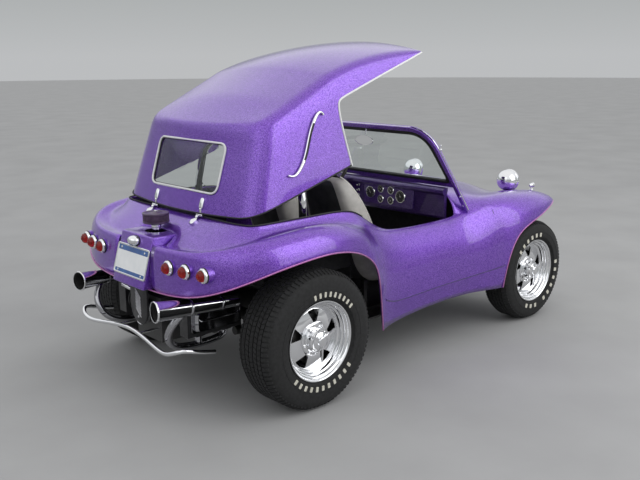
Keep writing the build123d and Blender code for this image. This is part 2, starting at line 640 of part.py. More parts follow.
def hardtop():
    """Top shell with its side openings and rear window, then raised about the hinges."""
    outer = top_volume(0)
    shell = outer - top_volume(TOP_WALL)
    end = TOP_FRONT_X + 10
    door = ((462, 800), (470, 948), (510, 1274), (530, 1296), (end, 1313), (end, 800))
    shell -= side_sheet(door, -700, 700)
    window = Plane(origin=WINDOW_CENTRE, x_dir=(0, 1, 0), z_dir=(-PANEL_RUN[1], 0, PANEL_RUN[0]))
    shell -= extrude(window * RectangleRounded(*WINDOW_SIZE, WINDOW_CORNER_R), amount=140, both=True)
    raise_top = Pos(HINGE_X, 0, HINGE_Z) * Rot(0, -TOP_OPEN, 0) * Pos(-HINGE_X, 0, -HINGE_Z)
    keep("hardtop_shell", raise_top * shell)
    pane = RectangleRounded(WINDOW_SIZE[0] - 2 * FIT, WINDOW_SIZE[1] - 2 * FIT, WINDOW_CORNER_R - FIT)
    pane = (top_volume(2) - top_volume(TOP_WALL - 2)) & extrude(window * pane, amount=140, both=True)
    keep("rear_window", raise_top * pane)
    deck = rear_core(-FIT)
    around = top_volume(-FIT)
    top_leaves = []
    deck_leaves = []
    bars = []
    panel = Plane(origin=(HINGE_X, 0, HINGE_Z), x_dir=(PANEL_RUN[0], 0, PANEL_RUN[1]), z_dir=(0, -1, 0))
    low, high = HINGE_Y - HINGE_WIDTH / 6, HINGE_Y + HINGE_WIDTH / 6
    for side in (1, -1):
        leaf = panel * Pos(28, 5.5, -side * HINGE_Y) * Box(64, 5, HINGE_WIDTH)
        leaf -= around
        for end in (-1, 1):
            middle = HINGE_Y + end * HINGE_WIDTH / 3
            reach = HINGE_WIDTH / 6 - FIT
            leaf += rod((HINGE_X, side * (middle - reach), HINGE_Z),
                        (HINGE_X, side * (middle + reach), HINGE_Z),
                        HINGE_BARREL_R)
        leaf -= rod((HINGE_X, side * (low - FIT), HINGE_Z), (HINGE_X, side * (high + FIT), HINGE_Z),
                    HINGE_BARREL_R + 1)
        top_leaves.append(raise_top * leaf)
        leaf = block(HINGE_X - 56, HINGE_X - 10, HINGE_Y - HINGE_WIDTH / 2, HINGE_Y + HINGE_WIDTH / 2, 895,
                     945)
        leaf += block(HINGE_X - 12, HINGE_X, low, high, 941, 945)
        leaf -= deck
        leaf += block(HINGE_X - 12, HINGE_X, low, high, 944.5, 948)
        leaf += rod((HINGE_X, low, HINGE_Z), (HINGE_X, high, HINGE_Z), HINGE_BARREL_R)
        deck_leaves.append(leaf if side == 1 else flipped(leaf))
        slope = (TOP_HALF - TOP_TUMBLE[0]) / (TOP_TUMBLE[1] - TOP_BASE_Z)
        stand_off = (LANDAU_R + FIT) * (1 + slope ** 2) ** 0.5
        route = [(x, side * (TOP_HALF + stand_off - (z - TOP_BASE_Z) * slope), z)
                 for x, z in ((96, 1036), (138, 1040), (356, 1250), (414, 1262))]
        bars.append(raise_top * tube(route, 38, LANDAU_R))
    keep("hinge_top_leaves", *top_leaves)
    keep("hinge_deck_leaves", *deck_leaves)
    keep("landau_bars", *bars)


def cabin():
    """Seats, roll bar, dash, instruments and steering wheel."""
    floor = GROUND_PAN + PAN_THICK + FIT
    for name, side in (("left", 1), ("right", -1)):
        y0, y1 = sorted((side * 90, side * 510))
        seat = side_sheet(((470, 1090), (520, 1100), (690, 640), (1080, 600), (1100, 560), (1080, 420),
                           (600, 400)),
                          y0, y1)
        seat -= side_sheet(((400, 1300), (540, 1060), (700, 600), (1200, 580), (1200, 1300)), y0 + 45,
                           y1 - 45)
        for y in (y0 + 50, y1 - 70):
            seat += block(640, 1040, y, y + 20, floor, 420)
        keep("seat_" + name, seat)
    foot_z = WELL_FLOOR_Z + SHELL + FIT
    x = ROLL_BAR_X
    half = [(x, 480, foot_z), (x, 480, 1000), (x + 10, 330, 1270)]
    hoop = half + [(x, -y, z) for x, y, z in half[::-1]]
    keep("roll_bar", tube(hoop, (90, 110, 110, 90), ROLL_BAR_R))
    x = COWL_X - FIT
    outline = ((x, 950), (x - 20, 950), (x - 46, 930), (x - 32, 760), (x - 20, 752), (x - 12, 762),
               (x - 34, 922),
               (x - 16, 938), (x, 938))
    dash = side_sheet(outline, -530, 530)
    dials = block(x - 53, x - 33, -290, 150, 775, 915)
    for y, z, r in ((83, 857, 40), (-184, 857, 40), (-10, 888, 26), (-100, 888, 26), (-10, 822, 26),
                    (-100, 822, 26)):
        dials += rod((x - 59, y, z), (x - 51, y, z), r)
    tilt = radians(WHEEL_TILT)
    column = Vector(-cos(tilt), 0, sin(tilt))
    centre = Vector(*WHEEL_CENTRE)
    at = Plane(origin=centre, z_dir=column)
    ring = at * Torus(WHEEL_R, 13)
    for k in range(3):
        ring += at * Rot(0, 0, 120 * k + 90) * Pos(WHEEL_R / 2 - 2, 0, 0) * Box(WHEEL_R - 5, 26, 6)
    ring += rod(centre - column * 30, centre + column * 14, 36)
    keep("steering_wheel", ring)
    keep("dashboard", dash + dials + rod(centre - column * 260, centre - column * (30 + FIT), 20))


def lamps():
    """Headlamps, indicators, tail lamps, plate and mirror."""
    skin = rear_core(-FIT)
    wing = front_core(-FIT)
    headlamps = []
    indicators = []
    lights = []
    for side in (1, -1):
        x, y, z = HEADLAMP_X, HEADLAMP_Y, HEADLAMP_Z
        lamp = Pos(x, y, z) * Sphere(HEADLAMP_R) & block(x - 100, x + 20, y - 90, y + 90, z - 100, z + 100)
        lamp += rod((x + 20, y, z), (x + 36, y, z), HEADLAMP_R - 3, HEADLAMP_R - 10)
        lamp += rod((x, y, z - 110), (x, y, z - HEADLAMP_R + 4), 18)
        lamp -= wing
        headlamps.append(lamp if side == 1 else flipped(lamp))
        x, y = x + 118, 548
        lamp = rod((x - 23, y, 870), (x + 24, y, 870), 12, 15) + rod((x, y, 800), (x, y, 866), 6)
        lamp -= wing
        indicators.append(lamp if side == 1 else flipped(lamp))
        for x, y, z in ((-548, 329, 746), (-533, 451, 746), (-510, 570, 746)):
            lamp = rod((x + 60, y, z), (x + 6, y, z), 33) + rod((x + 6, y, z), (x - 26, y, z), 33, 10)
            lamp -= skin
            lights.append(lamp if side == 1 else flipped(lamp))
    keep("headlamps", *headlamps)
    keep("indicators", *indicators)
    keep("tail_lamps", *lights)
    lean = radians(PLATE_LEAN)
    normal = (-cos(lean), 0, sin(lean))
    up = Vector(sin(lean), 0, cos(lean))
    face = Vector(-600, 0, 600) + up * 128 + Vector(*normal) * FIT
    keep("number_plate",
         extrude(Plane(origin=face, x_dir=(0, 1, 0), z_dir=normal) * RectangleRounded(305, 152, 12),
                                 amount=3))
    lamp_low = Vector(-600, 0, 600) + up * 210 + Vector(*normal) * FIT
    lamp_high = lamp_low + up * 40
    shade = ((lamp_low.X, lamp_low.Z), (lamp_high.X, lamp_high.Z), (lamp_high.X - 42, lamp_high.Z - 4),
             (lamp_high.X - 46, lamp_high.Z - 26))
    keep("plate_lamp", side_sheet(shade, -35, 35))
    at = screen_plane()
    seat = at.origin + at.y_dir * (SCREEN_RISE - SCREEN_BAR / 2) - at.z_dir * (SCREEN_DEPTH / 2 + FIT)
    ball = seat - at.z_dir * 46
    keep("mirror", rod(seat, ball, 6) + block(ball.X - 12, ball.X, -100, 100, ball.Z - 42, ball.Z + 6))


body_panels()
inner_bodies()
floor_pan()
front_axle()
for tag, side in (("left", 1), ("right", -1)):
    wheel("front_" + tag, WHEELBASE, side * FRONT_WHEEL_Y, FRONT_TYRE_R, FRONT_TYRE_WIDTH, side,
          FRONT_DRUM_Y - FRONT_WHEEL_Y)
    wheel("rear_" + tag, 0, side * REAR_WHEEL_Y, REAR_TYRE_R, REAR_TYRE_WIDTH, side,
          REAR_DRUM_Y - REAR_WHEEL_Y)
rear_axle()
engine()
bumpers()
windscreen()
hardtop()
cabin()
lamps()

os.makedirs("parts", exist_ok=True)
centring = Pos(-(REAR_END_X + FRONT_END_X) / 2, 0, 0)
for name, shapes in parts.items():
    solids = [solid for shape in shapes for solid in (centring * shape).solids()]
    export_step(Compound(children=solids), f"parts/{name}.step")
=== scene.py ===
import json
from math import atan2, cos, pi, radians, sin, tan

import bmesh
import bpy
from mathutils import Matrix, Vector


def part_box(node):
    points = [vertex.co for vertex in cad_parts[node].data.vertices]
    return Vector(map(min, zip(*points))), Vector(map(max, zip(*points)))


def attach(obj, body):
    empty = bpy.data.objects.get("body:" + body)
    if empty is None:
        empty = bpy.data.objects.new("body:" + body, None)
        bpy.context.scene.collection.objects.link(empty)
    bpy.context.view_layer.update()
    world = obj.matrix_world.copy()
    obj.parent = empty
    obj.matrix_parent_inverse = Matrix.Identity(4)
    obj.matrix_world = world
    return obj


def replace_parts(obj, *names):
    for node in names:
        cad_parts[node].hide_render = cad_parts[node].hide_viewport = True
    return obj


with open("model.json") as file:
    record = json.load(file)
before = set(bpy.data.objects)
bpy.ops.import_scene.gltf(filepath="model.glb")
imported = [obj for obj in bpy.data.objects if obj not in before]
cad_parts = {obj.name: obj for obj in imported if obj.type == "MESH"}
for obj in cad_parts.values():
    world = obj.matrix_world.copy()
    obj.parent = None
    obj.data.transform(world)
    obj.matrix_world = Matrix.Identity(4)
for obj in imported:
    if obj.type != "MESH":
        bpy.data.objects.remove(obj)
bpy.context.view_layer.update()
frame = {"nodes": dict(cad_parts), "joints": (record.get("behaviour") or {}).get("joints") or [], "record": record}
NODES = frame["nodes"]

# Shapes are written in millimetres from the rear axle's centre line: X forward, Y left, Z up.
AXLE_LOW, AXLE_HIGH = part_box("rim_rear_left")
REAR_AXLE_X = ((AXLE_LOW + AXLE_HIGH) / 2).x
TOP_HINGE = next(joint for joint in frame["joints"] if joint["name"] == "top_hinge")["pos_m"]
TOP_OPEN = radians(18)
MM = 0.001
MERGE = 0.00002
BODY_WALL = 0.008
TOP_WALL = 0.010


def car(point):
    """Point of the row frame from millimetres about the rear axle."""
    x, y, z = point
    return vec(x * MM + REAR_AXLE_X, y * MM, z * MM)


def raised(point):
    """The same, for a point of the closed hardtop that is then turned up about its hinges."""
    pivot = vec(TOP_HINGE[0], 0, TOP_HINGE[2])
    return Matrix.Rotation(-TOP_OPEN, 3, "Y") @ (car(point) - pivot) + pivot


# Materials

def feed(tree, node, **values):
    """Set a node's inputs, or link those whose value is another node's output."""
    for name, value in values.items():
        taken = node.inputs[name.replace("_", " ")]
        if isinstance(value, bpy.types.NodeSocket):
            tree.links.new(value, taken)
        else:
            taken.default_value = value
    return node


def add(tree, kind, **values):
    """A new shader node with some of its inputs fed."""
    return feed(tree, tree.nodes.new("ShaderNode" + kind), **values)


def material(name, colour, roughness, metallic=0.0, coat=0.0, ior=1.5):
    """A principled material, with its node tree and shader for more nodes."""
    new = bpy.data.materials.new(name)
    new.use_nodes = True
    tree = new.node_tree
    shader = tree.nodes["Principled BSDF"]
    feed(tree, shader, Base_Color=(*colour, 1), Roughness=roughness, Metallic=metallic, Coat_Weight=coat,
         Coat_Roughness=0.04, IOR=ior)
    return new, tree, shader


def place(tree):
    """Object coordinates in metres."""
    return add(tree, "TexCoord").outputs["Object"]


def noise(tree, scale, detail=4.0, rough=0.5):
    node = add(tree, "TexNoise", Vector=place(tree), Scale=scale, Detail=detail, Roughness=rough)
    return node.outputs["Fac"]


def ramp(tree, source, *stops):
    """Colour ramp of (position, colour) stops fed by a value."""
    node = add(tree, "ValToRGB", Fac=source)
    points = node.color_ramp.elements
    while len(points) < len(stops):
        points.new(0.5)
    for point, (position, colour) in zip(points, stops):
        point.position = position
        point.color = (*colour, 1)
    return node.outputs["Color"]


def span(tree, source, low, high):
    """A value from 0 to 1 spread between two others."""
    return add(tree, "MapRange", Value=source, To_Min=low, To_Max=high).outputs["Result"]


def bump(tree, shader, height, strength, distance):
    """Relief from a height, added to what the shader's normal already has."""
    node = add(tree, "Bump", Height=height, Strength=strength, Distance=distance)
    taken = shader.inputs["Normal"]
    if taken.is_linked:
        feed(tree, node, Normal=taken.links[0].from_socket)
    feed(tree, shader, Normal=node.outputs["Normal"])


FLAKE_SCALE = 720.0
FLAKE_SHINE = 0.62
PEBBLE_SCALE = 420.0


def flake_paint(name, deep, mid, bright, roughness):
    """Clear-coated metal-flake paint: each tiny cell has its own shade and tilt."""
    new, tree, shader = material(name, mid, roughness, metallic=FLAKE_SHINE, coat=1.0)
    cells = add(tree, "TexVoronoi", Vector=place(tree), Scale=FLAKE_SCALE)
    split = add(tree, "SeparateColor", Color=cells.outputs["Color"])
    tint = add(tree, "Mix")
    tint.data_type = "RGBA"
    tint.blend_type = "MULTIPLY"
    shade = ramp(tree, split.outputs["Red"], (0.0, deep), (0.55, mid), (0.9, bright), (1.0, bright))
    feed(tree, tint, Factor=1.0, A=shade, B=span(tree, noise(tree, 3.0, 2.0), 0.9, 1.1))
    feed(tree, shader, Base_Color=tint.outputs["Result"])
    bump(tree, shader, split.outputs["Green"], 0.12, 0.0012)
    return new


def metal(name, colour, low, high, scale=30.0, relief=0.0):
    """Metal whose roughness varies a little from place to place."""
    new, tree, shader = material(name, colour, low, metallic=1.0)
    feed(tree, shader, Roughness=span(tree, noise(tree, scale, 5.0, 0.6), low, high))
    if relief:
        bump(tree, shader, noise(tree, scale * 6, 3.0), relief, 0.001)
    return new


def mottled(name, dark, light, roughness, scale, relief=0.1, distance=0.0005, coat=0.0, metallic=0.0):
    """Plain surface with a soft change of shade and a fine grain."""
    new, tree, shader = material(name, light, roughness, metallic, coat)
    feed(tree, shader, Base_Color=ramp(tree, noise(tree, scale), (0.3, dark), (0.7, light)),
         Roughness=span(tree, noise(tree, scale * 3), roughness - 0.08, roughness + 0.1))
    bump(tree, shader, noise(tree, scale * 25, 6.0, 0.6), relief, distance)
    return new


def leather(name, dark, light, roughness):
    """Vinyl or leather with a fine pebble grain."""
    new = mottled(name, dark, light, roughness, 22.0, 0.05)
    tree = new.node_tree
    cells = add(tree, "TexVoronoi", Vector=place(tree), Scale=PEBBLE_SCALE)
    bump(tree, tree.nodes["Principled BSDF"], cells.outputs["Distance"], 0.3, 0.0008)
    return new


def clear_glass(name, tint, roughness=0.0):
    new, tree, shader = material(name, tint, roughness, ior=1.45)
    feed(tree, shader, Transmission_Weight=1.0)
    return new


PAINT = flake_paint("violet_flake", (0.05, 0.006, 0.2), (0.125, 0.02, 0.42), (0.36, 0.16, 0.78), 0.3)
# DASH_PAINT is the body paint darkened; on the side crease lines it is painted shade
DASH_PAINT = flake_paint("violet_flake_dark", (0.02, 0.004, 0.08), (0.05, 0.014, 0.17), (0.16, 0.08, 0.34),
                         0.34)
LINER = mottled("black_liner", (0.008, 0.008, 0.009), (0.02, 0.02, 0.022), 0.85, 40.0, 0.4)
CHASSIS = mottled("chassis_black", (0.009, 0.009, 0.009), (0.022, 0.021, 0.02), 0.45, 14.0, 0.15)
ENGINE_BLACK = mottled("engine_black", (0.01, 0.01, 0.011), (0.028, 0.028, 0.03), 0.4, 20.0, 0.15, coat=0.2)
CAST = metal("cast_alloy", (0.12, 0.12, 0.12), 0.5, 0.7, 30.0, 0.3)
ALLOY = metal("bright_alloy", (0.72, 0.72, 0.74), 0.12, 0.24)
CHROME = metal("chrome", (0.82, 0.825, 0.84), 0.03, 0.08, 12.0)
# Chrome darkened as painted shade, for the engine parts in the shadow of the rear deck
SHADED_CHROME = metal("chrome_painted_shade", (0.4, 0.4, 0.42), 0.06, 0.14, 12.0)
PLUM = mottled("filter_plum", (0.035, 0.018, 0.045), (0.085, 0.045, 0.1), 0.4, 30.0, 0.2, coat=0.4)
GLASS = clear_glass("glass", (0.9, 0.95, 0.94))
RED = clear_glass("red_lens", (0.75, 0.02, 0.015), 0.08)
SEAT = leather("seat_vinyl", (0.38, 0.365, 0.34), (0.5, 0.48, 0.45), 0.5)
SEAT_BACK = leather("seat_back", (0.025, 0.025, 0.028), (0.06, 0.058, 0.06), 0.45)
# Piping colour: the welt is real, its paleness partly a painted highlight on the bolster crests
PIPING = leather("pale_piping", (0.6, 0.58, 0.54), (0.72, 0.7, 0.66), 0.45)
WHEEL_GRIP = leather("wheel_grip", (0.012, 0.009, 0.008), (0.035, 0.025, 0.02), 0.42)
RUBBER = mottled("tyre_rubber", (0.007, 0.007, 0.007), (0.016, 0.016, 0.017), 0.82, 60.0, 0.25)
GASKET = mottled("gasket", (0.006, 0.006, 0.006), (0.014, 0.014, 0.014), 0.5, 80.0, 0.1)
PALE_BLOCK = mottled("tyre_marks", (0.48, 0.46, 0.38), (0.68, 0.66, 0.58), 0.6, 90.0, 0.1)
PLATE_WHITE = mottled("plate_white", (0.78, 0.8, 0.82), (0.86, 0.87, 0.88), 0.3, 20.0, 0.03, coat=0.5)
PLATE_BLUE = mottled("plate_blue", (0.02, 0.07, 0.25), (0.04, 0.14, 0.4), 0.3, 20.0, 0.03, coat=0.5)
DIAL = mottled("dial_face", (0.008, 0.008, 0.01), (0.018, 0.018, 0.02), 0.35, 60.0, 0.05, coat=0.3)
TRIM_WHITE = mottled("white_trim", (0.75, 0.75, 0.74), (0.85, 0.85, 0.84), 0.3, 40.0, 0.05, coat=0.4)
# Lighter pink paint for the beads on the body's lips: a painted highlight
PAINT_EDGE_HIGHLIGHT = flake_paint("violet_flake_edge_highlight", (0.3, 0.06, 0.3), (0.5, 0.14, 0.44), (0.75, 0.35, 0.65), 0.3)
PLEAT_PAPER = mottled("pleat_paper", (0.06, 0.035, 0.07), (0.13, 0.08, 0.14), 0.75, 60.0, 0.3)
SOOT = mottled("soot", (0.006, 0.006, 0.006), (0.016, 0.015, 0.014), 0.8, 60.0, 0.3)
SATIN = mottled("satin_alloy", (0.5, 0.5, 0.52), (0.68, 0.68, 0.7), 0.4, 40.0, 0.05, metallic=0.3)
RED_DEEP = mottled("red_reflector", (0.25, 0.01, 0.008), (0.45, 0.02, 0.015), 0.25, 90.0, 0.3, coat=1.0)
AMBER = clear_glass("amber_lens", (0.9, 0.3, 0.03), 0.08)
MIRROR = metal("mirror_face", (0.92, 0.93, 0.94), 0.01, 0.02)

SLOTS = {look.name.split(".")[0]: look for look in (LINER, CHASSIS, ENGINE_BLACK, CAST, ALLOY, CHROME, PLUM,
                                                    GLASS, RED, SEAT, PLATE_WHITE, RUBBER)}
SLOTS.update(paint=PAINT, dash_paint=DASH_PAINT, wheel_leather=WHEEL_GRIP)
for row in frame["record"]["subparts"]:
    mesh = NODES[row["node"]].data
    mesh.materials.clear()
    mesh.materials.append(SLOTS[row["material_slot"]])

# Mesh helpers

def move(*steps):
    return Matrix.Translation(steps)


def spin(angle):
    return Matrix.Rotation(angle, 4, "Z")


def vec(*values):
    return Vector(values)


def turns(count):
    """Angles that share out a full turn."""
    return [2 * pi * k / count for k in range(count)]


def sided(points, side=-1):
    """Points of the left side, on the right side when the side is -1."""
    return [(x, side * y, z) for x, y, z in points]


def whole(left, middle):
    """Line from the right over a middle point to the left, from its left half."""
    return smooth(sided(left[::-1]) + [middle] + left)


def pose(origin, facing=(0, 0, 1), upward=(0, 0, 1)):
    """Placing whose Z looks along a direction and whose Y leans upward."""
    z = Vector(facing).normalized()
    x = Vector(upward).cross(z)
    if x.length < 0.001:
        x = vec(0, 1, 0).cross(z)
    x.normalize()
    turn = Matrix((x, z.cross(x), z)).transposed().to_4x4()
    return move(*origin) @ turn


def smooth(points, steps=6, closed=False):
    """Soft curve that a subdivided edge takes through its control points."""
    points = [Vector(point) for point in points]
    if closed:
        padded = [points[-1], *points, points[0], points[1]]
    else:
        padded = [2 * points[0] - points[1], *points, 2 * points[-1] - points[-2]]
    line = []
    for a, b, c, d in zip(padded, padded[1:], padded[2:], padded[3:]):
        for k in range(steps):
            t = k / steps
            line.append(((1 - t) ** 3 * a + (3 * t ** 3 - 6 * t ** 2 + 4) * b
                         + (3 * t + 3 * t ** 2 - 3 * t ** 3 + 1) * c + t ** 3 * d) / 6)
    if not closed:
        line.append(points[-1])
    return line


def bend(route, radii, steps=7, closed=False):
    """Straight runs joined by round bends."""
    route = [Vector(point) for point in route]
    count = len(route)
    bends = range(count) if closed else range(1, count - 1)
    if not hasattr(radii, "__len__"):
        radii = [radii] * len(bends)
    line = [] if closed else [route[0]]
    for i, radius in zip(bends, radii):
        before = (route[i - 1] - route[i]).normalized()
        after = (route[(i + 1) % count] - route[i]).normalized()
        half = before.angle(after) / 2
        reach = radius / tan(half)
        for k in range(steps + 1):
            t = k / steps
            line.append(route[i] + before * reach * (1 - t) ** 2 + after * reach * t ** 2)
    if not closed:
        line.append(route[-1])
    return line


def rounded_box(half_width, half_height, radius, steps=6):
    """Outline of a rectangle with round corners."""
    corners = [(u * half_width, v * half_height, 0) for u, v in ((1, 1), (-1, 1), (-1, -1), (1, -1))]
    return [point.xy for point in bend(corners, radius, steps, closed=True)]


def runs(path, closed):
    """Points of a path, each with the direction that the path has there."""
    path = [Vector(point) for point in path]
    last = len(path) - 1
    for i, point in enumerate(path):
        before = path[i - 1] if closed or i else point
        after = path[(i + 1) % (last + 1)] if closed or i < last else point
        yield point, after - before


def own(name, verts, faces, body):
    """Smooth mesh from millimetre points, riding on a body."""
    at = raised if body == "hardtop" else car
    mesh = bpy.data.meshes.new(name)
    mesh.from_pydata([at(v) for v in verts], [], faces)
    mesh.shade_smooth()
    piece = bpy.data.objects.new(name, mesh)
    bpy.context.scene.collection.objects.link(piece)
    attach(piece, body)
    return piece


class Heap:
    """Small solids gathered into one mesh, each in the look last picked, in millimetres."""

    def __init__(self, look):
        self.verts = []
        self.faces = []
        self.marks = []
        self.looks = [look]
        self.mark = 0

    def use(self, look):
        if look not in self.looks:
            self.looks.append(look)
        self.mark = self.looks.index(look)
        return self

    def skin(self, rows, ring=True, closed=False, caps=True):
        """Faces over rows of points."""
        start = len(self.verts)
        count = len(rows[0])
        for row in rows:
            self.verts.extend(Vector(point) for point in row)
        for i in range(len(rows) if closed else len(rows) - 1):
            a = start + i * count
            b = start + (i + 1) % len(rows) * count
            for j in range(count if ring else count - 1):
                k = (j + 1) % count
                self.faces.append((a + j, a + k, b + k, b + j))
        if caps and not closed:
            last = start + (len(rows) - 1) * count
            self.faces.append(tuple(range(start + count - 1, start - 1, -1)))
            self.faces.append(tuple(range(last, last + count)))
        self.marks.extend([self.mark] * (len(self.faces) - len(self.marks)))
        return self

    def lathe(self, at, profile, steps=48, closed=False, ends=True):
        """Profile of (radius, height) turned about a pose's axis, and run in to that axis at its ends."""
        if ends and not closed:
            first, last = ([(0, h)] * (r > 0) for r, h in (profile[0], profile[-1]))
            profile = [*first, *profile, *last]
        rows = [[at @ vec(r * cos(t), r * sin(t), h) for t in turns(steps)] for r, h in profile]
        return self.skin(rows, closed=closed)

    def rod(self, start, end, radius, end_radius=None, sides=16):
        """Round bar with softly broken ends."""
        run = Vector(end) - Vector(start)
        tip = radius if end_radius is None else end_radius
        soft = min(radius, tip) * 0.25
        profile = ((radius - soft, 0), (radius, soft), (tip, run.length - soft), (tip - soft, run.length))
        return self.lathe(pose(start, run), profile, sides, ends=False)

    def capsule(self, start, end, radius, sides=16):
        """Bar with round ends."""
        run = Vector(end) - Vector(start)
        dome = [(radius * sin(a), radius - radius * cos(a)) for a in (0.05, 0.5, 1.0, 1.57)]
        profile = dome + [(r, run.length - h) for r, h in dome[::-1]]
        return self.lathe(pose(start, run), profile, sides, ends=False)

    def tube(self, path, radius, sides=10, closed=False):
        """Round bar along a path, with one radius or a list of them."""
        radii = radius if hasattr(radius, "__len__") else [radius] * len(path)
        normal = vec(0.31, 0.17, 0.93)
        rows = []
        for (point, run), size in zip(runs(path, closed), radii):
            run.normalize()
            normal = (normal - run * normal.dot(run)).normalized()
            across = run.cross(normal)
            rows.append([point + size * (cos(t) * normal + sin(t) * across) for t in turns(sides)])
        return self.skin(rows, closed=closed)

    def sweep(self, path, section, upward, closed=False):
        """Section of (across, up) points along a flat path, with one direction kept up."""
        rows = []
        for point, run in runs(path, closed):
            across = run.cross(upward).normalized()
            rows.append([point + across * a + upward * b for a, b in section])
        return self.skin(rows, closed=closed)

    def slab(self, at, outline, height, soft=0.0):
        """Outline pushed out along a pose's axis, its outer edge drawn in."""
        scale = 1 - soft / max(abs(u) for u, v in outline)
        levels = [(1, 0), (1, height - soft)] + [(scale, height)] * (soft > 0)
        return self.skin([[at @ vec(u * size, v * size, z) for u, v in outline] for size, z in levels])

    def brick(self, low, high):
        """Box between two corners."""
        (x0, y0, z0), (x1, y1, z1) = low, high
        return self.skin([[(x, y0, z0), (x, y1, z0), (x, y1, z1), (x, y0, z1)] for x in (x0, x1)])

    def piece(self, name, slot, body="chassis", sharp=38):
        """One object from what was gathered."""
        piece = own(name, self.verts, self.faces, body)
        mesh = piece.data
        for look in self.looks:
            mesh.materials.append(look)
        mesh.polygons.foreach_set("material_index", self.marks)
        work = bmesh.new()
        work.from_mesh(mesh)
        bmesh.ops.remove_doubles(work, verts=work.verts, dist=MERGE)
        bmesh.ops.recalc_face_normals(work, faces=work.faces)
        work.to_mesh(mesh)
        work.free()
        mesh.set_sharp_from_angle(angle=radians(sharp))
        return piece


def modify(piece, kind, **values):
    new = piece.modifiers.new(kind.lower(), kind)
    for name, value in values.items():
        setattr(new, name, value)
    return new


def subdivide(piece):
    modify(piece, "SUBSURF", levels=2, render_levels=2)


def round_edges(piece, width, segments=2):
    """Round every sharp edge, in millimetres."""
    modify(piece, "BEVEL", width=width * MM, segments=segments, limit_method="ANGLE", angle_limit=radians(40))


def carve(piece, cutter, sharp=35):
    """Cut one mesh out of another."""
    modify(piece, "BOOLEAN", object=cutter, operation="DIFFERENCE", solver="EXACT")
    graph = bpy.context.evaluated_depsgraph_get()
    done = bpy.data.meshes.new_from_object(piece.evaluated_get(graph))
    piece.modifiers.clear()
    piece.data = done
    done.set_sharp_from_angle(angle=radians(sharp))
    bpy.data.objects.remove(cutter)


def crease(piece, picked, weight=1.0):
    """Crease the edges whose two end points are both picked."""
    layers = piece.data.attributes
    layer = layers.get("crease_edge") or layers.new("crease_edge", "FLOAT", "EDGE")
    for edge in piece.data.edges:
        if all(picked(vertex) for vertex in edge.vertices):
            layer.data[edge.index].value = weight


# Body shell. Tail and wing rows: inner x, inner y, outer x, outer y, share of wing spacing, and the
# heights of rail, slope, pocket front, pocket floor, inner edge, top edge, shoulder, skirt and lip.
TAIL_SPREAD = (0.0, 0.2, 0.4, 0.66, 0.83, 0.9, 0.965, 0.995, 1.0)
WING_SPREAD = (0.0, 0.1, 0.2, 0.28, 0.44, 0.62, 0.86, 0.96, 1.0)
TAIL_ROWS = (
    (-262, 0, -560, 0, 0, 943, 908, 868, 818, 822, 836, 800, 700, 600),
    (-262, 165, -560, 165, 0, 943, 907, 866, 814, 820, 836, 800, 700, 600),
    (-262, 300, -555, 312, 0, 943, 906, 864, 812, 820, 836, 801, 704, 603),
    (-262, 410, -537, 470, 0, 943, 905, 868, 820, 828, 842, 806, 716, 618),
    (-256, 520, -488, 615, 0.3, 943, 905, 876, 846, 852, 864, 824, 744, 656),
    (-236, 585, -400, 745, 0.75, 944, 910, 890, 876, 886, 894, 850, 784, 716),
    (-190, 600, -262, 812, 1, 945, 914, 899, 897, 909, 914, 874, 822, 768),
    (-90, 600, -90, 832, 1, 945, 914, 902, 904, 922, 926, 890, 844, 794),
    (60, 600, 60, 834, 1, 945, 914, 902, 908, 931, 936, 900, 854, 804),
    (200, 600, 200, 824, 1, 945, 914, 900, 902, 918, 921, 882, 838, 788),
    (330, 600, 330, 800, 1, 945, 914, 893, 888, 893, 888, 846, 798, 746),
)
# Side rows: x at the rim, x at the sill, then (y, z) from the cockpit rim down to the sill.
SIDE_ROWS = (
    (400, 408, (600, 937), (628, 902), (650, 882), (668, 870), (700, 860), (735, 841), (770, 790),
     (790, 740), (796, 691)),
    (452, 457, (600, 925), (628, 896), (648, 870), (664, 852), (692, 834), (722, 806), (756, 745),
     (780, 680), (785, 616)),
    (512, 501, (599, 893), (626, 866), (644, 842), (660, 818), (684, 788), (712, 744), (746, 660),
     (765, 560), (762, 463)),
    (590, 556, (598, 842), (624, 820), (642, 798), (658, 770), (680, 734), (706, 680), (736, 570),
     (742, 440), (726, 262)),
    (680, 640, (598, 795), (625, 778), (642, 757), (658, 730), (680, 690), (704, 630), (724, 520),
     (722, 405), (700, 272)),
    (800, 790, (595, 779), (620, 764), (640, 742), (658, 712), (680, 668), (699, 600), (711, 500),
     (710, 402), (690, 286)),
    (1000, 1000, (592, 775), (618, 761), (638, 740), (658, 708), (680, 662), (698, 600), (707, 510),
     (705, 408), (685, 301)),
    (1200, 1200, (590, 777), (616, 763), (636, 742), (658, 708), (682, 660), (700, 600), (710, 505),
     (709, 414), (690, 306)),
)
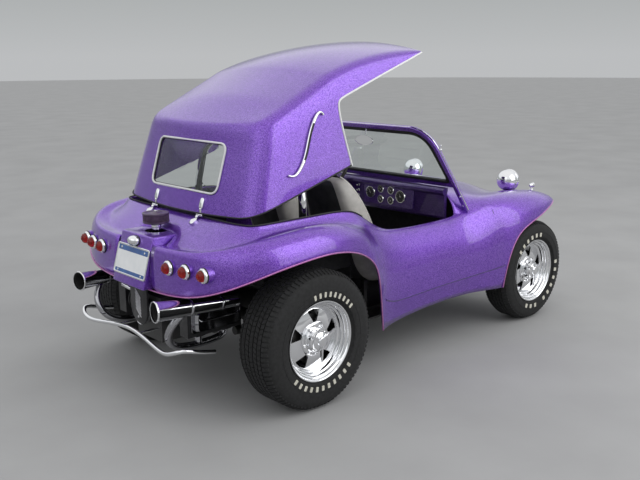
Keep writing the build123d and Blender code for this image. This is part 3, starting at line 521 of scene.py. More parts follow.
# Front rows: x at the middle, x at the sill, (y, z) over the bonnet, then (y, z) down to the sill or arch.
FRONT_ROWS = (
    (1340, 1340, ((0, 958), (150, 957), (290, 952), (440, 936), (530, 905), (568, 850)), ((588, 784),
     (614, 769), (638, 746), (662, 708), (686, 660), (704, 600), (715, 500), (715, 416), (696, 305))),
    (1440, 1440, ((0, 957), (150, 955), (280, 949), (425, 932), (520, 900), (566, 858)), ((596, 815),
     (624, 790), (652, 758), (674, 715), (697, 662), (713, 600), (723, 500), (722, 422), (706, 301))),
    (1580, 1580, ((0, 950), (145, 948), (260, 942), (385, 918), (480, 884), (545, 868)), ((592, 857),
     (632, 838), (668, 804), (694, 755), (716, 690), (730, 615), (740, 515), (741, 430), (728, 293))),
    (1660, 1672, ((0, 944), (142, 942), (250, 934), (362, 906), (462, 873), (535, 866)), ((592, 863),
     (636, 847), (674, 816), (702, 768), (722, 705), (736, 630), (746, 530), (747, 438), (736, 289))),
    (1730, 1690, ((0, 936), (140, 934), (242, 924), (346, 892), (448, 865), (528, 867)), ((592, 866),
     (638, 853), (677, 826), (705, 783), (726, 730), (741, 668), (750, 595), (754, 520), (753, 455))),
    (1810, 1756, ((0, 923), (137, 920), (232, 908), (330, 876), (434, 857), (522, 867)), ((592, 869),
     (639, 858), (679, 835), (707, 800), (728, 758), (743, 712), (752, 668), (757, 630), (758, 594))),
    (1910, 1850, ((0, 904), (133, 900), (222, 886), (316, 857), (420, 848), (514, 864)), ((588, 869),
     (638, 860), (678, 841), (706, 814), (727, 783), (743, 750), (752, 718), (758, 690), (760, 660))),
    (2060, 2020, ((0, 866), (128, 862), (210, 847), (300, 826), (400, 832), (500, 856)), ((576, 861),
     (628, 855), (668, 841), (697, 822), (718, 800), (734, 775), (745, 750), (752, 726), (755, 703))),
    (2210, 2180, ((0, 812), (124, 806), (200, 794), (285, 780), (378, 796), (472, 832)), ((548, 846),
     (600, 844), (641, 835), (670, 822), (692, 808), (709, 792), (721, 776), (729, 761), (732, 748))),
    (2320, 2296, ((0, 748), (120, 742), (196, 734), (275, 731), (358, 752), (440, 786)), ((508, 808),
     (556, 814), (595, 814), (624, 810), (646, 804), (664, 796), (678, 788), (687, 780), (690, 772))),
    (2366, 2344, ((0, 704), (118, 699), (192, 694), (268, 698), (344, 722), (416, 756)), ((476, 780),
     (522, 790), (556, 793), (583, 792), (604, 789), (621, 785), (634, 780), (643, 775), (647, 768))),
)
NOSE_ROWS = ((2388, 676), (2402, 640), (2405, 600), (2400, 545), (2384, 490))
NOSE_COLUMNS = (0, 118, 192, 268)
BOX_HALF = 154
PLATE_LEAN = radians(16)
BOX_TOP_Z = 862
BOX_TOP_X = -600 + (BOX_TOP_Z - 600) * tan(PLATE_LEAN)
BOX_FRONT_X = -330
CARB_X = -410
HINGE_X, HINGE_Y, HINGE_Z = -272, 212, 952
RAIL, INNER_EDGE, TOP_EDGE, SEAM, LIP = 0, 3, 4, 7, 8
SEAM_START = len(TAIL_ROWS) + 3
ARCH_START = len(TAIL_ROWS) + len(SIDE_ROWS) + 3


class Cage:
    """Control mesh from rows of points, where equal points are one vertex."""

    def __init__(self):
        self.verts = []
        self.seen = {}
        self.faces = []

    def vertex(self, point):
        key = tuple(round(value, 1) for value in point)
        if key not in self.seen:
            self.seen[key] = len(self.verts)
            self.verts.append(point)
        return self.seen[key]

    def grid(self, rows, skip=lambda i, j: False):
        """Quads between rows of points, on the left and reflected to the right."""
        for side in (1, -1):
            index = [[self.vertex((x, side * y, z)) for x, y, z in row] for row in rows]
            for i in range(len(rows) - 1):
                for j in range(len(rows[i]) - 1):
                    if skip(i, j):
                        continue
                    face = [index[i][j], index[i][j + 1], index[i + 1][j + 1], index[i + 1][j]]
                    face = face[::-1] if side == 1 else face
                    if len(set(face)) > 2:
                        self.faces.append(list(dict.fromkeys(face)))

    def line(self, points):
        """Test for a vertex on a line of points, on either side of the car."""
        picked = {self.vertex((x, side * y, z)) for x, y, z in points for side in (1, -1)}
        return lambda vertex: vertex in picked

    def piece(self, name, body="chassis"):
        """The painted mesh, still without its creases and wall."""
        piece = own(name, self.verts, self.faces, body)
        piece.data.validate()
        piece.data.materials.append(PAINT)
        return piece


def mould(shell, wall):
    """Round a cage's mesh and give it a wall that grows inward."""
    subdivide(shell)
    modify(shell, "SOLIDIFY", thickness=wall, offset=-1.0, use_even_offset=True)


def spread_row(ix, iy, ox, oy, share, *heights):
    """Points from the rail outwards along one plan direction."""
    for tail, wing, z in zip(TAIL_SPREAD, WING_SPREAD, heights):
        part = tail + (wing - tail) * share
        yield ix + (ox - ix) * part, iy + (oy - iy) * part, z


def slanted(x0, x1, points):
    """Points whose x runs evenly from the first to the last."""
    last = len(points) - 1
    return [(x0 + (x1 - x0) * k / last, y, z) for k, (y, z) in enumerate(points)]


FLANK = [list(spread_row(*row)) for row in TAIL_ROWS]
FLANK += [slanted(row[0], row[1], row[2:]) for row in SIDE_ROWS]
FLANK += [slanted(x0, x1, down) for x0, x1, over, down in FRONT_ROWS]


def along(column, first=0, last=None):
    """One column of the left flank's points, from one row to another."""
    return [row[column] for row in FLANK[first:last]]


# Tail, wings, sides, bonnet and nose as one smooth moulding
cage = Cage()
front = FLANK[-len(FRONT_ROWS):]
bonnet = [[(x0, y, z) for y, z in over] + [row[0]] for (x0, x1, over, down), row in zip(FRONT_ROWS, front)]
cage.grid(FLANK, skip=lambda i, j: i == 0 and j > 1)
cage.grid(bonnet)
cage.grid([bonnet[-1][:4]] + [[(x, y, z) for y in NOSE_COLUMNS] for x, z in NOSE_ROWS])
shell = cage.piece("body_shell")
crease(shell, cage.line(along(TOP_EDGE, 1, 6)), 0.7)
crease(shell, cage.line(along(INNER_EDGE, 1, 5)), 0.5)
crease(shell, cage.line(along(SEAM, SEAM_START, ARCH_START)), 1.0)
crease(shell, cage.line(along(RAIL)), 0.3)
corners = cage.line((FLANK[SEAM_START][LIP], FLANK[ARCH_START][LIP]))
layer = shell.data.attributes.new("crease_vert", "FLOAT", "POINT")
for index in range(len(cage.verts)):
    layer.data[index].value = float(corners(index))
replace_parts(shell, *[f"{part}_{side}" for part in ("rear_quarter", "side_panel", "front_quarter")
                     for side in ("left", "right")])
mould(shell, BODY_WALL)

# Bright beads on the wheel arches and tail, their lighter pink a painted highlight on the rolled lip; dark side
# lines, painted shade in the crease; and gasket on the rail
lip_highlights = Heap(PAINT_EDGE_HIGHLIGHT)
seams = Heap(DASH_PAINT)
gaskets = Heap(GASKET)
lip_highlights.tube(whole(along(LIP, 1, SEAM_START + 1), (-560, 0, 600)), 4.2, 8)
rail = whole(along(RAIL, 1, SEAM_START), (-262, 0, 943))
gaskets.tube([point + vec(0, 0, 1) for point in rail], 4, 8)
for side in (1, -1):
    lip_highlights.tube(smooth(sided(along(LIP, ARCH_START), side)), 4.2, 8)
    # Dark-violet line along each side crease: painted shade
    seams.tube(smooth(sided(along(SEAM, SEAM_START, ARCH_START + 1), side)), 4, 6)
lip_highlights.piece("arch_bead_highlights", "paint")
seams.piece("side_crease_shade_lines", "dash_paint")
gaskets.piece("rail_gasket", "black_liner")

# Body-colour box behind the number plate, with a round hole for the carburettor's neck
box = Heap(PAINT)
outline = ((-600, 600), (BOX_TOP_X, BOX_TOP_Z), (BOX_FRONT_X, BOX_TOP_Z), (BOX_FRONT_X, 600))
box.skin([[(x, y, z) for x, z in outline] for y in (-BOX_HALF, BOX_HALF)])
shell = box.piece("plate_housing_shell", "paint")
round_edges(shell, 9, 4)
well = pose((CARB_X, 0, BOX_TOP_Z - 60))
hole = Heap(LINER).lathe(well, ((61, 0), (61, 90)), 64, ends=False)
carve(shell, hole.piece("cutter", "black_liner"))
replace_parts(shell, "plate_housing")
# Black lining and floor inside the carburettor hole: painted shade
liner = Heap(LINER)
liner.lathe(well, ((60.5, 0), (60.5, 57), (59.5, 57), (59.5, 2), (0, 2)), 64, ends=False)
liner.piece("box_hole_shade_liner", "black_liner")

# Hardtop, closed: height rows of the side and rear panels, as z at the rear corner, x there, z at the
# door edge, x there, and the half width.
TOP_ROWS = (
    (960, -226, 948, 470, 598),
    (1048, -165, 1050, 478, 586),
    (1150, -94, 1165, 490, 570),
    (1256, -20, 1291, 512, 552),
    (1318, 16, 1362, 512, 534),
    (1348, 40, 1416, 512, 500),
)
TOP_SHARES = (0.09, 0.4, 0.7, 0.93, 1.0)
REAR_SHARES = (1.0, 0.9, 0.75, 0.5, 0.25, 0.0)
# Header beyond the notch: x, then heights of its lower edge, middle and roof corner, and the half widths.
TOP_HEADER = (
    (560, 1294, 1366, 1424, 550, 534, 500),
    (740, 1301, 1366, 1424, 548, 534, 500),
    (980, 1308, 1352, 1396, 546, 536, 506),
    (1170, 1313, 1328, 1350, 544, 538, 516),
    (1232, 1315, 1322, 1328, 542, 538, 524),
)
CORNER_SHARE = 0.9
REAR_BOW = 56
ROOF_CROWN = 52
ROOF_RISE = ((40, 0.0), (229, 0.72), (370, 0.72), (512, 0.8), (740, 1.0))
BOW_START = 18
BOW_FADE = 240
VISOR_TIP = 26
VISOR_START = 1000
VISOR_LENGTH = 232
SKIN_SHIFT = 1.5
SIDE_SLOPE = 0.12
WINDOW_MIDDLE = 1157
WINDOW_HALF = (304, 131)
WINDOW_ROUND = 48
WINDOW_LIFT = 9


def between(table, x):
    """Value at x on a line through a table's points."""
    for (a, low), (b, high) in zip(table, table[1:]):
        if x <= b:
            return low + (high - low) * (x - a) / (b - a)
    return table[-1][1]


def bow(share):
    """How far the rear panel swells behind its corners."""
    return -REAR_BOW * (1 - share ** 2)


def rear_skin(y, z):
    """Point on the closed top's rear panel."""
    for low, high in zip(TOP_ROWS, TOP_ROWS[1:]):
        if z <= high[0] or high is TOP_ROWS[-1]:
            part = (z - low[0]) / (high[0] - low[0])
            x = low[1] + (high[1] - low[1]) * part
            half = low[4] + (high[4] - low[4]) * part
            return vec(x + bow(y / half) + SKIN_SHIFT, y, z)


REAR_OUT = vec(-0.804, 0, 0.594)
REAR_UP = vec(0.594, 0, 0.804)


def side_skin(x, z, out=0.0):
    """Point on the closed top's left side panel, moved out by a distance."""
    last = None
    for rear_z, rear_x, door_z, door_x, half in TOP_ROWS:
        here = rear_z + (door_z - rear_z) * (x - rear_x) / (door_x - rear_x)
        if last and here >= z:
            part = (z - last[0]) / (here - last[0])
            return vec(x, last[1] + (half - last[1]) * part + out, z + out * SIDE_SLOPE)
        last = (here, half)
    return vec(x, last[1] + out, z)


def rear_point(row, share):
    """Point of the rear panel at a share of its half width, with its corner cut across."""
    share = min(share, CORNER_SHARE)
    return row[1] + bow(share), row[4] * share, row[0]


def side_row(row):
    """Left side panel from the rear corner to the door edge."""
    rear_z, rear_x, door_z, door_x, half = row
    along_side = [(rear_x + (door_x - rear_x) * share, half, rear_z + (door_z - rear_z) * share)
                  for share in TOP_SHARES]
    return [rear_point(row, 1)] + along_side


SIDE_PANEL = [side_row(row) for row in TOP_ROWS]
DOOR_EDGE = [row[-1] for row in SIDE_PANEL[:4]] + [(row[0], row[4], row[1]) for row in TOP_HEADER]

# Rounded top with its rear window and side openings cut out
cage = Cage()
cage.grid(SIDE_PANEL)
header = [[SIDE_PANEL[3 + k][-1]] + [(row[0], row[4 + k], row[1 + k]) for row in TOP_HEADER]
          for k in range(3)]
cage.grid(header)
rear = [[rear_point(row, share) for share in REAR_SHARES[::-1]] for row in TOP_ROWS]
cage.grid(rear)
roof = []
for x, y, z in SIDE_PANEL[5] + header[2][1:]:
    line = []
    for share in REAR_SHARES:
        swell = bow(share) * max(0.0, 1 - (x - BOW_START) / BOW_FADE)
        tip = VISOR_TIP * (1 - share ** 2) * max(0.0, (x - VISOR_START) / VISOR_LENGTH)
        crown = ROOF_CROWN * (1 - share ** 2) * between(ROOF_RISE, x)
        line.append((x + swell + tip, y * share, z + crown))
    roof.append(line)
roof[0] = rear[-1][::-1]
cage.grid([row[::-1] for row in roof])
shell = cage.piece("hardtop", "hardtop")
crease(shell, cage.line(rear[-1][:-2]), 0.8)
crease(shell, cage.line(roof[2][1:]), 0.8)
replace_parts(shell, "hardtop_shell")
mould(shell, TOP_WALL)
window = Heap(PAINT)
inside = pose(rear_skin(0, WINDOW_MIDDLE) + REAR_OUT * -90, REAR_OUT, REAR_UP)
window.slab(inside, rounded_box(*WINDOW_HALF, WINDOW_ROUND), 190)
carve(shell, window.piece("cutter", "paint", "hardtop"))


def window_line(grow, out):
    """Loop round the rear window on the panel's skin."""
    half_width, half_height = WINDOW_HALF
    outline = rounded_box(half_width + grow, half_height + grow, WINDOW_ROUND + grow, 8)
    line = []
    for u, v in outline:
        lift = WINDOW_LIFT * max(0.0, v / half_height) * (1 - (u / half_width) ** 2)
        line.append(rear_skin(u, WINDOW_MIDDLE + v * REAR_UP.z) + REAR_OUT * (out + lift))
    return line


# Pale edging on the openings, window rubber and the black strip below
edging = Heap(TRIM_WHITE)
edging.tube(window_line(2, 5), 5.5, 8, closed=True)
rubber = Heap(GASKET)
rubber.tube(window_line(-2, -3), 5, 8, closed=True)
base = [rear_point(TOP_ROWS[0], share) for share in REAR_SHARES[-2:0:-1]] + SIDE_PANEL[0][1:]
rubber.tube([point + vec(0, 0, 4) for point in whole(base, rear_point(TOP_ROWS[0], 0))], 4.2, 8)
for side in (1, -1):
    edging.tube(smooth(sided(DOOR_EDGE, side)), 5.5, 8)
edging.piece("top_edging", "paint", "hardtop")
rubber.piece("top_rubbers", "black_liner", "hardtop")

# Clear pane that follows the panel's bow
pane = Heap(GLASS)
loop = rounded_box(WINDOW_HALF[0] - 1, WINDOW_HALF[1] - 1, WINDOW_ROUND, 5)
front = [[rear_skin(u * scale, WINDOW_MIDDLE + v * scale * REAR_UP.z) + REAR_OUT * -4 for u, v in loop]
         for scale in (0.02, 0.25, 0.5, 0.75, 1.0)]
pane.skin(front + [[point + REAR_OUT * -4 for point in row] for row in front[::-1]])
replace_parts(pane.piece("rear_pane", "glass", "hardtop"), "rear_window")

IRON_LINE = ((52, 1072), (70, 1058), (100, 1054), (157, 1087), (204, 1130), (264, 1208), (322, 1262),
             (358, 1284), (382, 1284), (390, 1262))
IRON_THIN = 5
IRON_SWELL = 5.5

# S-shaped dress-up irons with a dark slot in the thick middle
bars = Heap(CHROME)
for side in (1, -1):
    path = smooth(sided([side_skin(x, z, 9) for x, z in IRON_LINE], side), 5)
    last = len(path) - 1
    radii = [IRON_THIN + IRON_SWELL * sin(pi * k / last) ** 1.5 for k in range(last + 1)]
    bars.use(CHROME).tube(path, radii, 10)
    for end in (path[1], path[-2]):
        bars.capsule(end + vec(0, side * -9, 0), end + vec(0, side * 5, 0), 7)
    mid = len(path) // 2
    slot = [point + vec(-2, side * 8, 0) for point in path[mid - 6:mid + 7]]
    bars.use(GASKET).tube(slot, 5.5, 8)
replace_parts(bars.piece("landau_irons", "chrome", "hardtop"), "landau_bars")

DECK_OUT = vec(-0.53, 0, 0.85)

# Two chrome hinges, each with a lug on the top and one on the deck
upper = Heap(CHROME)
lower = Heap(CHROME)
for y in (-HINGE_Y, HINGE_Y):
    lug = pose(rear_skin(y, 1004), REAR_OUT, REAR_UP)
    upper.slab(lug, rounded_box(15, 29, 11), 13, 5)
    upper.capsule((HINGE_X, y, HINGE_Z), rear_skin(y, 986) + REAR_OUT * 10, 7)
    upper.rod((HINGE_X, y - 15, HINGE_Z), (HINGE_X, y + 8, HINGE_Z), 9)
    lower.rod((HINGE_X, y + 8.5, HINGE_Z), (HINGE_X, y + 38, HINGE_Z), 9)
    lower.capsule((HINGE_X, y + 23, 950), (HINGE_X - 20, y + 23, 938), 9)
    foot = pose((HINGE_X - 29, y + 23, 916), DECK_OUT, (1, 0, 0))
    lower.slab(foot, rounded_box(16, 23, 14), 20, 8)
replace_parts(upper.piece("top_lugs", "chrome", "hardtop"), "hinge_top_leaves")
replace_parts(lower.piece("deck_lugs", "chrome"), "hinge_deck_leaves")

# Tail fittings

PLATE_OUT = vec(-cos(PLATE_LEAN), 0, sin(PLATE_LEAN))
PLATE_UP = vec(sin(PLATE_LEAN), 0, cos(PLATE_LEAN))
PLATE_FOOT = vec(-600, 0, 600)
PLATE_HALF = (152.5, 76)
BAND_ROWS = ((57, 13), (-62, 9))
BOLT_PLACES = ((-112, 57), (112, 57), (-112, -62), (112, -62))

# Blank plate with a blue band above and below, in a chrome surround, and the lamp over it
at = pose(PLATE_FOOT + PLATE_UP * 128 + PLATE_OUT * 0.3, PLATE_OUT, PLATE_UP)
plate = Heap(PLATE_WHITE)
plate.slab(at, rounded_box(*PLATE_HALF, 12), 3, 0.5)
plate.use(PLATE_BLUE)
for v, high in BAND_ROWS:
    plate.slab(at @ move(0, v, 2.6), rounded_box(142, high, 6), 0.8)
plate.use(CHROME)
ring = [at @ vec(u, v, 3.5) for u, v in rounded_box(PLATE_HALF[0] - 1, PLATE_HALF[1] - 1, 11)]
plate.sweep(ring, ((-4, -3.2), (5, -3.2), (5, 1), (2, 2.4), (-2, 2.4), (-4, 1)), PLATE_OUT, closed=True)
for u, v in BOLT_PLACES:
    plate.lathe(at @ move(u, v, 3.2), ((6, 0), (6, 2.2), (4, 3.4), (0, 3.6)), 16)
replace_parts(plate.piece("number_plate_dressed", "plate_white"), "number_plate")
lamp = Heap(CHROME)
spot = PLATE_FOOT + PLATE_UP * 234 + PLATE_OUT * 0.3
at = pose(spot, PLATE_OUT, PLATE_UP) @ Matrix.Diagonal((1.2, 0.8, 1, 1))
lamp.lathe(at, ((33, 0), (33, 10), (31, 20), (25, 32), (14, 41), (0, 44)), 32)
lamp.use(GASKET).lathe(at, ((36, 0), (36, 4), (32, 5)), 32)
lens = pose(spot + PLATE_UP * -20 + PLATE_OUT * 18, -PLATE_UP, PLATE_OUT)
lamp.use(GLASS).lathe(lens, ((14, 0), (13, 5), (8, 8), (0, 9)), 24)
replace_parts(lamp.piece("plate_lamp_hood", "chrome"), "plate_lamp")

TAIL_LAMPS = ((-548, 329, 746), (-533, 451, 746), (-510, 570, 746))
LENS_SIDES = 16

# Painted stand-offs, rubber, chrome bezels and faceted red lenses
pods = Heap(PAINT)
lamps = Heap(CHROME)
for side in (1, -1):
    for x, y, z in TAIL_LAMPS:
        at = pose((x - 6, side * y, z), (-1, 0, 0))
        behind = at @ move(0, 0, -64)
        pods.lathe(behind, ((40, 0), (40, 60), (38, 62)), 40)
        lamps.use(GASKET).lathe(at, ((40, -5), (40, -1), (38, 1)), 40)
        bezel = ((37, 0), (38, 3), (37, 8), (32, 13), (29, 14), (27, 11))
        lamps.use(CHROME).lathe(at, bezel, 40)
        lamps.use(RED_DEEP).lathe(at, ((26, 10), (26, 13)), 24)
        lens = ((28, 11), (28.5, 17), (25, 26), (17, 33), (9, 36), (8, 38), (0, 39))
        lamps.use(RED).lathe(at, lens, LENS_SIDES)
pods.piece("lamp_stand_offs", "paint")
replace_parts(lamps.piece("tail_lamps_dressed", "red_lens", sharp=16), "tail_lamps")

PLEATS = 72

# Pleated round filter between two plates, with its neck, clamp and wing nut
at = pose((CARB_X, 0, 0))
cleaner = Heap(PLEAT_PAPER)
zigzag = [(68 - 4 * (k % 2), pi * k / PLEATS) for k in range(2 * PLEATS)]
cleaner.skin([[(CARB_X + r * cos(t), r * sin(t), z) for r, t in zigzag] for z in (914, 950)])
cleaner.use(PLUM)
cleaner.lathe(at, ((67, 904), (70, 907), (70, 914), (66, 916)), 64)
lid = ((67, 947), (70, 949), (70, 956), (67, 958), (56, 958), (50, 955), (26, 956), (20, 960),
       (0, 961))
cleaner.lathe(at, lid, 64)
cleaner.use(CHROME)
neck = ((23, 800), (23, 880), (26, 882), (26, 892), (23, 894), (30, 906))
cleaner.lathe(at, neck, 40)
cleaner.lathe(at, ((7, 959), (7, 967), (3, 969), (0, 970)), 16)
for side in (1, -1):
    cleaner.capsule((CARB_X, side * 4, 964), (CARB_X, side * 17, 968), 2, 10)
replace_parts(cleaner.piece("air_filter", "filter_plum"), "air_cleaner")
carburettor = Heap(CAST)
carburettor.brick((CARB_X - 38, -43, 719), (CARB_X + 32, 43, 798))
carburettor.rod((CARB_X - 20, -60, 750), (CARB_X - 20, 60, 750), 16)
round_edges(carburettor.piece("carburettor", "cast_alloy"), 4)

# Windscreen, written as (across, up) in a plane that leans back from its foot

SCREEN_FOOT = vec(1440, 0, 790)
SCREEN_LEAN = radians(62)
SCREEN_OUT = vec(sin(SCREEN_LEAN), 0, cos(SCREEN_LEAN))
SCREEN_UP = vec(-cos(SCREEN_LEAN), 0, sin(SCREEN_LEAN))
HOOP = ((608, 12), (580, 190), (500, 590))
HOOP_ROUND = (300, 185, 185, 300)


def on_screen(u, v, out=0.0):
    return SCREEN_FOOT + vec(0, u, 0) + SCREEN_UP * v + SCREEN_OUT * out


def hoop(grow):
    """Line over the windscreen from foot to foot, moved out by a distance."""
    left = [on_screen(u + grow, v + grow * 0.9) for u, v in HOOP]
    right = [on_screen(-u - grow, v + grow * 0.9) for u, v in HOOP]
    return bend(right + left[::-1], HOOP_ROUND, 9)


# Painted hoop, black rubber inside it, bright bead outside, and the two top brackets
band = Heap(PAINT)
section = ((-15, -11), (-15, 11), (-10, 14), (9, 14), (13, 10), (13, -10), (9, -14), (-10, -14))
band.sweep(hoop(0), section, SCREEN_OUT)
bar = ((-13, -12), (-13, 12), (13, 12), (13, -12))
band.sweep([on_screen(u, 206) for u in (-572, 572)], bar, SCREEN_OUT)
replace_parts(band.piece("screen_hoop", "paint"), "screen_frame")
rubber = Heap(GASKET)
corners = [on_screen(u, v) for u, v in ((-552, 224), (-474, 566), (474, 566), (552, 224))]
section = ((-16, -9), (-16, 9), (-12, 12), (9, 12), (12, 9), (12, -9), (9, -12), (-12, -12))
rubber.sweep(bend(corners, (44, 160, 160, 44), 9, closed=True), section, SCREEN_OUT, closed=True)
rubber.piece("screen_rubber", "black_liner")
bright = Heap(CHROME)
bright.tube(hoop(14), 4, 8)
for side in (1, -1):
    spot = on_screen(side * 528, 452)
    bright.capsule(spot + SCREEN_OUT * -8, spot + vec(14, side * 26, 6), 6)
    bright.capsule(spot + vec(4, side * 12, -16), spot + vec(10, side * 20, 34), 5)
    for v in (60, 130):
        head = pose(on_screen(side * 603, v, -13), -SCREEN_OUT)
        bright.lathe(head, ((8, 0), (8, 2), (5, 4), (0, 5)), 16)
bright.piece("screen_bright_parts", "chrome")

# Oval mirror on a short stalk from the top of the windscreen
head = on_screen(0, 520, -62)
oval = Heap(CHROME)
oval.capsule(on_screen(0, 574, -10), head + vec(4, 0, 6), 5)
at = pose(head, (-1, 0, -0.08)) @ Matrix.Diagonal((0.82, 0.34, 1, 1))
shell = ((0, -14), (60, -12), (92, -5), (100, 2), (99, 6), (93, 6), (91, 4))
oval.lathe(at, shell, 56)
oval.use(MIRROR).lathe(at, ((91, 3), (91, 4.4), (0, 4.8)), 56)
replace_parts(oval.piece("mirror_dressed", "chrome"), "mirror")

# Cabin

DASH_X = 1340
DASH_HALF = 530
DASH_BOW = 6
DASH_SECTION = ((-2, 951), (-20, 952), (-38, 946), (-50, 932), (-50, 918), (-40, 908), (-34, 900), (-32, 770),
                (-26, 758), (-18, 752), (-10, 758), (-12, 900), (-2, 930))
# Dials: y, z, radius, and how many ticks
GAUGES = ((83, 857, 40, 11), (-184, 857, 40, 11), (-10, 888, 26, 7), (-100, 888, 26, 7), (-10, 822, 26, 7),
          (-100, 822, 26, 7))
DIAL_SWEEP = 130
SWITCHES = ((200, 892), (200, 858), (200, 824))
HUB = vec(1120, 330, 1000)
WHEEL_TILT = radians(38)
COLUMN = vec(-cos(WHEEL_TILT), 0, sin(WHEEL_TILT))
WHEEL_R = 175
GRIPS = 24

# Rolled dash with its raised panel and the column below the wheel
dash = Heap(DASH_PAINT)
rows = []
for y in [DASH_HALF * k / 5 for k in range(-5, 6)]:
    x = DASH_X - DASH_BOW * (1 - (y / DASH_HALF) ** 2)
    rows.append([(x + dx, y, z) for dx, z in DASH_SECTION])
dash.skin(rows)
panel = pose((DASH_X - 34, -70, 855), (-1, 0, 0.03))
dash.slab(panel, rounded_box(218, 70, 14), 12, 3)
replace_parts(dash.piece("dash_shell", "dash_paint"), "dashboard")
column = Heap(ENGINE_BLACK)
column.rod(HUB - COLUMN * 262, HUB - COLUMN * 60, 19)
column.use(CHROME).rod(HUB - COLUMN * 62, HUB - COLUMN * 35, 24)
column.capsule(HUB - COLUMN * 62, HUB - COLUMN * 50 + vec(0, 120, 18), 4)
column.piece("steering_column", "engine_black")

# Six ringed dials with pale ticks and needles, and a row of switches
dials = Heap(CHROME)
for y, z, radius, ticks in GAUGES:
    at = pose((DASH_X - 46, y, z), (-1, 0, 0.03))
    ring = ((radius, 0), (radius + 1, 4), (radius - 1, 8), (radius - 4, 8), (radius - 5, 5))
    dials.use(CHROME).lathe(at, ring, 40)
    dials.use(DIAL).lathe(at, ((radius - 5, 4), (radius - 5, 5.2), (0, 5.4)), 40)
    dials.use(PALE_BLOCK)
    for k in range(ticks):
        turn = spin(radians(-DIAL_SWEEP + 2 * DIAL_SWEEP * k / (ticks - 1)))
        tick = at @ turn @ move(0, radius - 10, 5.2)
        dials.slab(tick, ((-0.8, -3), (0.8, -3), (0.8, 3), (-0.8, 3)), 0.8)
    needle = at @ spin(radians(70 - radius)) @ move(0, 0, 6.2)
    dials.slab(needle, ((-1.1, -6), (1.1, -6), (0.5, radius - 12), (-0.5, radius - 12)), 0.8)
    dials.use(CHROME).lathe(at, ((0, 5), (3.5, 5.5), (3.5, 8), (0, 8.4)), 16)
for y, z in SWITCHES:
    knob = ((8, 0), (8, 3), (3, 4), (3, 14), (6, 16), (6, 23), (0, 25))
    dials.lathe(pose((DASH_X - 36, y, z), (-1, 0, 0)), knob, 16)
dials.piece("gauges", "chrome")

# Leather rim with finger grips, three bright spokes whose drilled holes are dimples with black discs of painted
# shade, and a domed hub
at = pose(HUB, COLUMN)
wheel = Heap(WHEEL_GRIP)
wheel.tube([at @ vec(WHEEL_R * cos(t), WHEEL_R * sin(t), 0) for t in turns(144)],
           [12.2 + 0.8 * cos(GRIPS * t) for t in turns(144)], 12, closed=True)
for k in range(3):
    spoke = at @ spin(radians(120 * k - 90))
    arm = spoke @ move(98, 0, -8)
    wheel.use(ALLOY).slab(arm, ((-64, -16), (68, -11), (68, 11), (-64, 16)), 4, 0.8)
    for reach in (70, 98, 124):
        hole = spoke @ move(reach, 0, -4)
        wheel.use(ALLOY).lathe(hole, ((9, 0), (8.6, 1), (7.4, 0.6), (0, 0.5)), 20)
        # Black disc in each dimple: painted shade for the drilled hole
        wheel.use(GASKET).lathe(hole, ((7.5, 0.4), (7.4, 0.9)), 20)
hub = ((36, -33), (38, -10), (40, -4), (36, 2), (30, 6), (28, 14), (14, 18), (0, 19))
wheel.use(CHROME).lathe(at, hub, 40)
for k in range(6):
    bolt = at @ spin(radians(60 * k + 30)) @ move(33, 0, 2)
    wheel.lathe(bolt, ((3.4, 0), (3.4, 3), (0, 3.6)), 10)
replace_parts(wheel.piece("steering_wheel_dressed", "wheel_leather", "hand_wheel"), "steering_wheel")

# Seat stations from the cushion's lip to the top of the back: x, z, half width, bolster height, thickness
SEAT_ROWS = (
    (1086, 524, 186, 4, 60),
    (1084, 566, 196, 14, 96),
    (1040, 592, 202, 34, 130),
    (950, 588, 206, 56, 150),
    (830, 578, 207, 70, 156),
    (740, 584, 207, 82, 150),
    (690, 622, 207, 92, 112),
    (656, 700, 207, 92, 92),
    (620, 800, 206, 84, 84),
    (586, 900, 200, 66, 80),
    (554, 990, 188, 40, 74),
    (532, 1056, 160, 18, 64),
    (520, 1086, 120, 6, 44),
)
SEAT_Y = 300
# Across the seat: share of the half width, and share of the bolster's height
SEAT_FRONT = ((-1.0, 0.6), (-0.95, 0.96), (-0.84, 0.9), (-0.68, 0.24), (-0.4, 0.0), (0.0, 0.06), (0.4, 0.0),
              (0.68, 0.24), (0.84, 0.9), (0.95, 0.96), (1.0, 0.6))
SEAT_SHELL = ((0.98, 0.5), (0.8, 0.95), (0.0, 1.0), (-0.8, 0.95), (-0.98, 0.5))
SEAT_CHANNELS = (2, 3, 4, 7, 8, 9)
SEAT_DARK = (12, 13)
PIPING_OUT = 0.955
PIPING_RISE = 0.9


def seat_frame(i):
    """Middle and outward direction of one seat station."""
    before, after = SEAT_ROWS[max(i - 1, 0)], SEAT_ROWS[min(i + 1, len(SEAT_ROWS) - 1)]
    run = vec(after[0] - before[0], 0, after[1] - before[1]).normalized()
    return vec(SEAT_ROWS[i][0], 0, SEAT_ROWS[i][1]), vec(run.z, 0, -run.x)


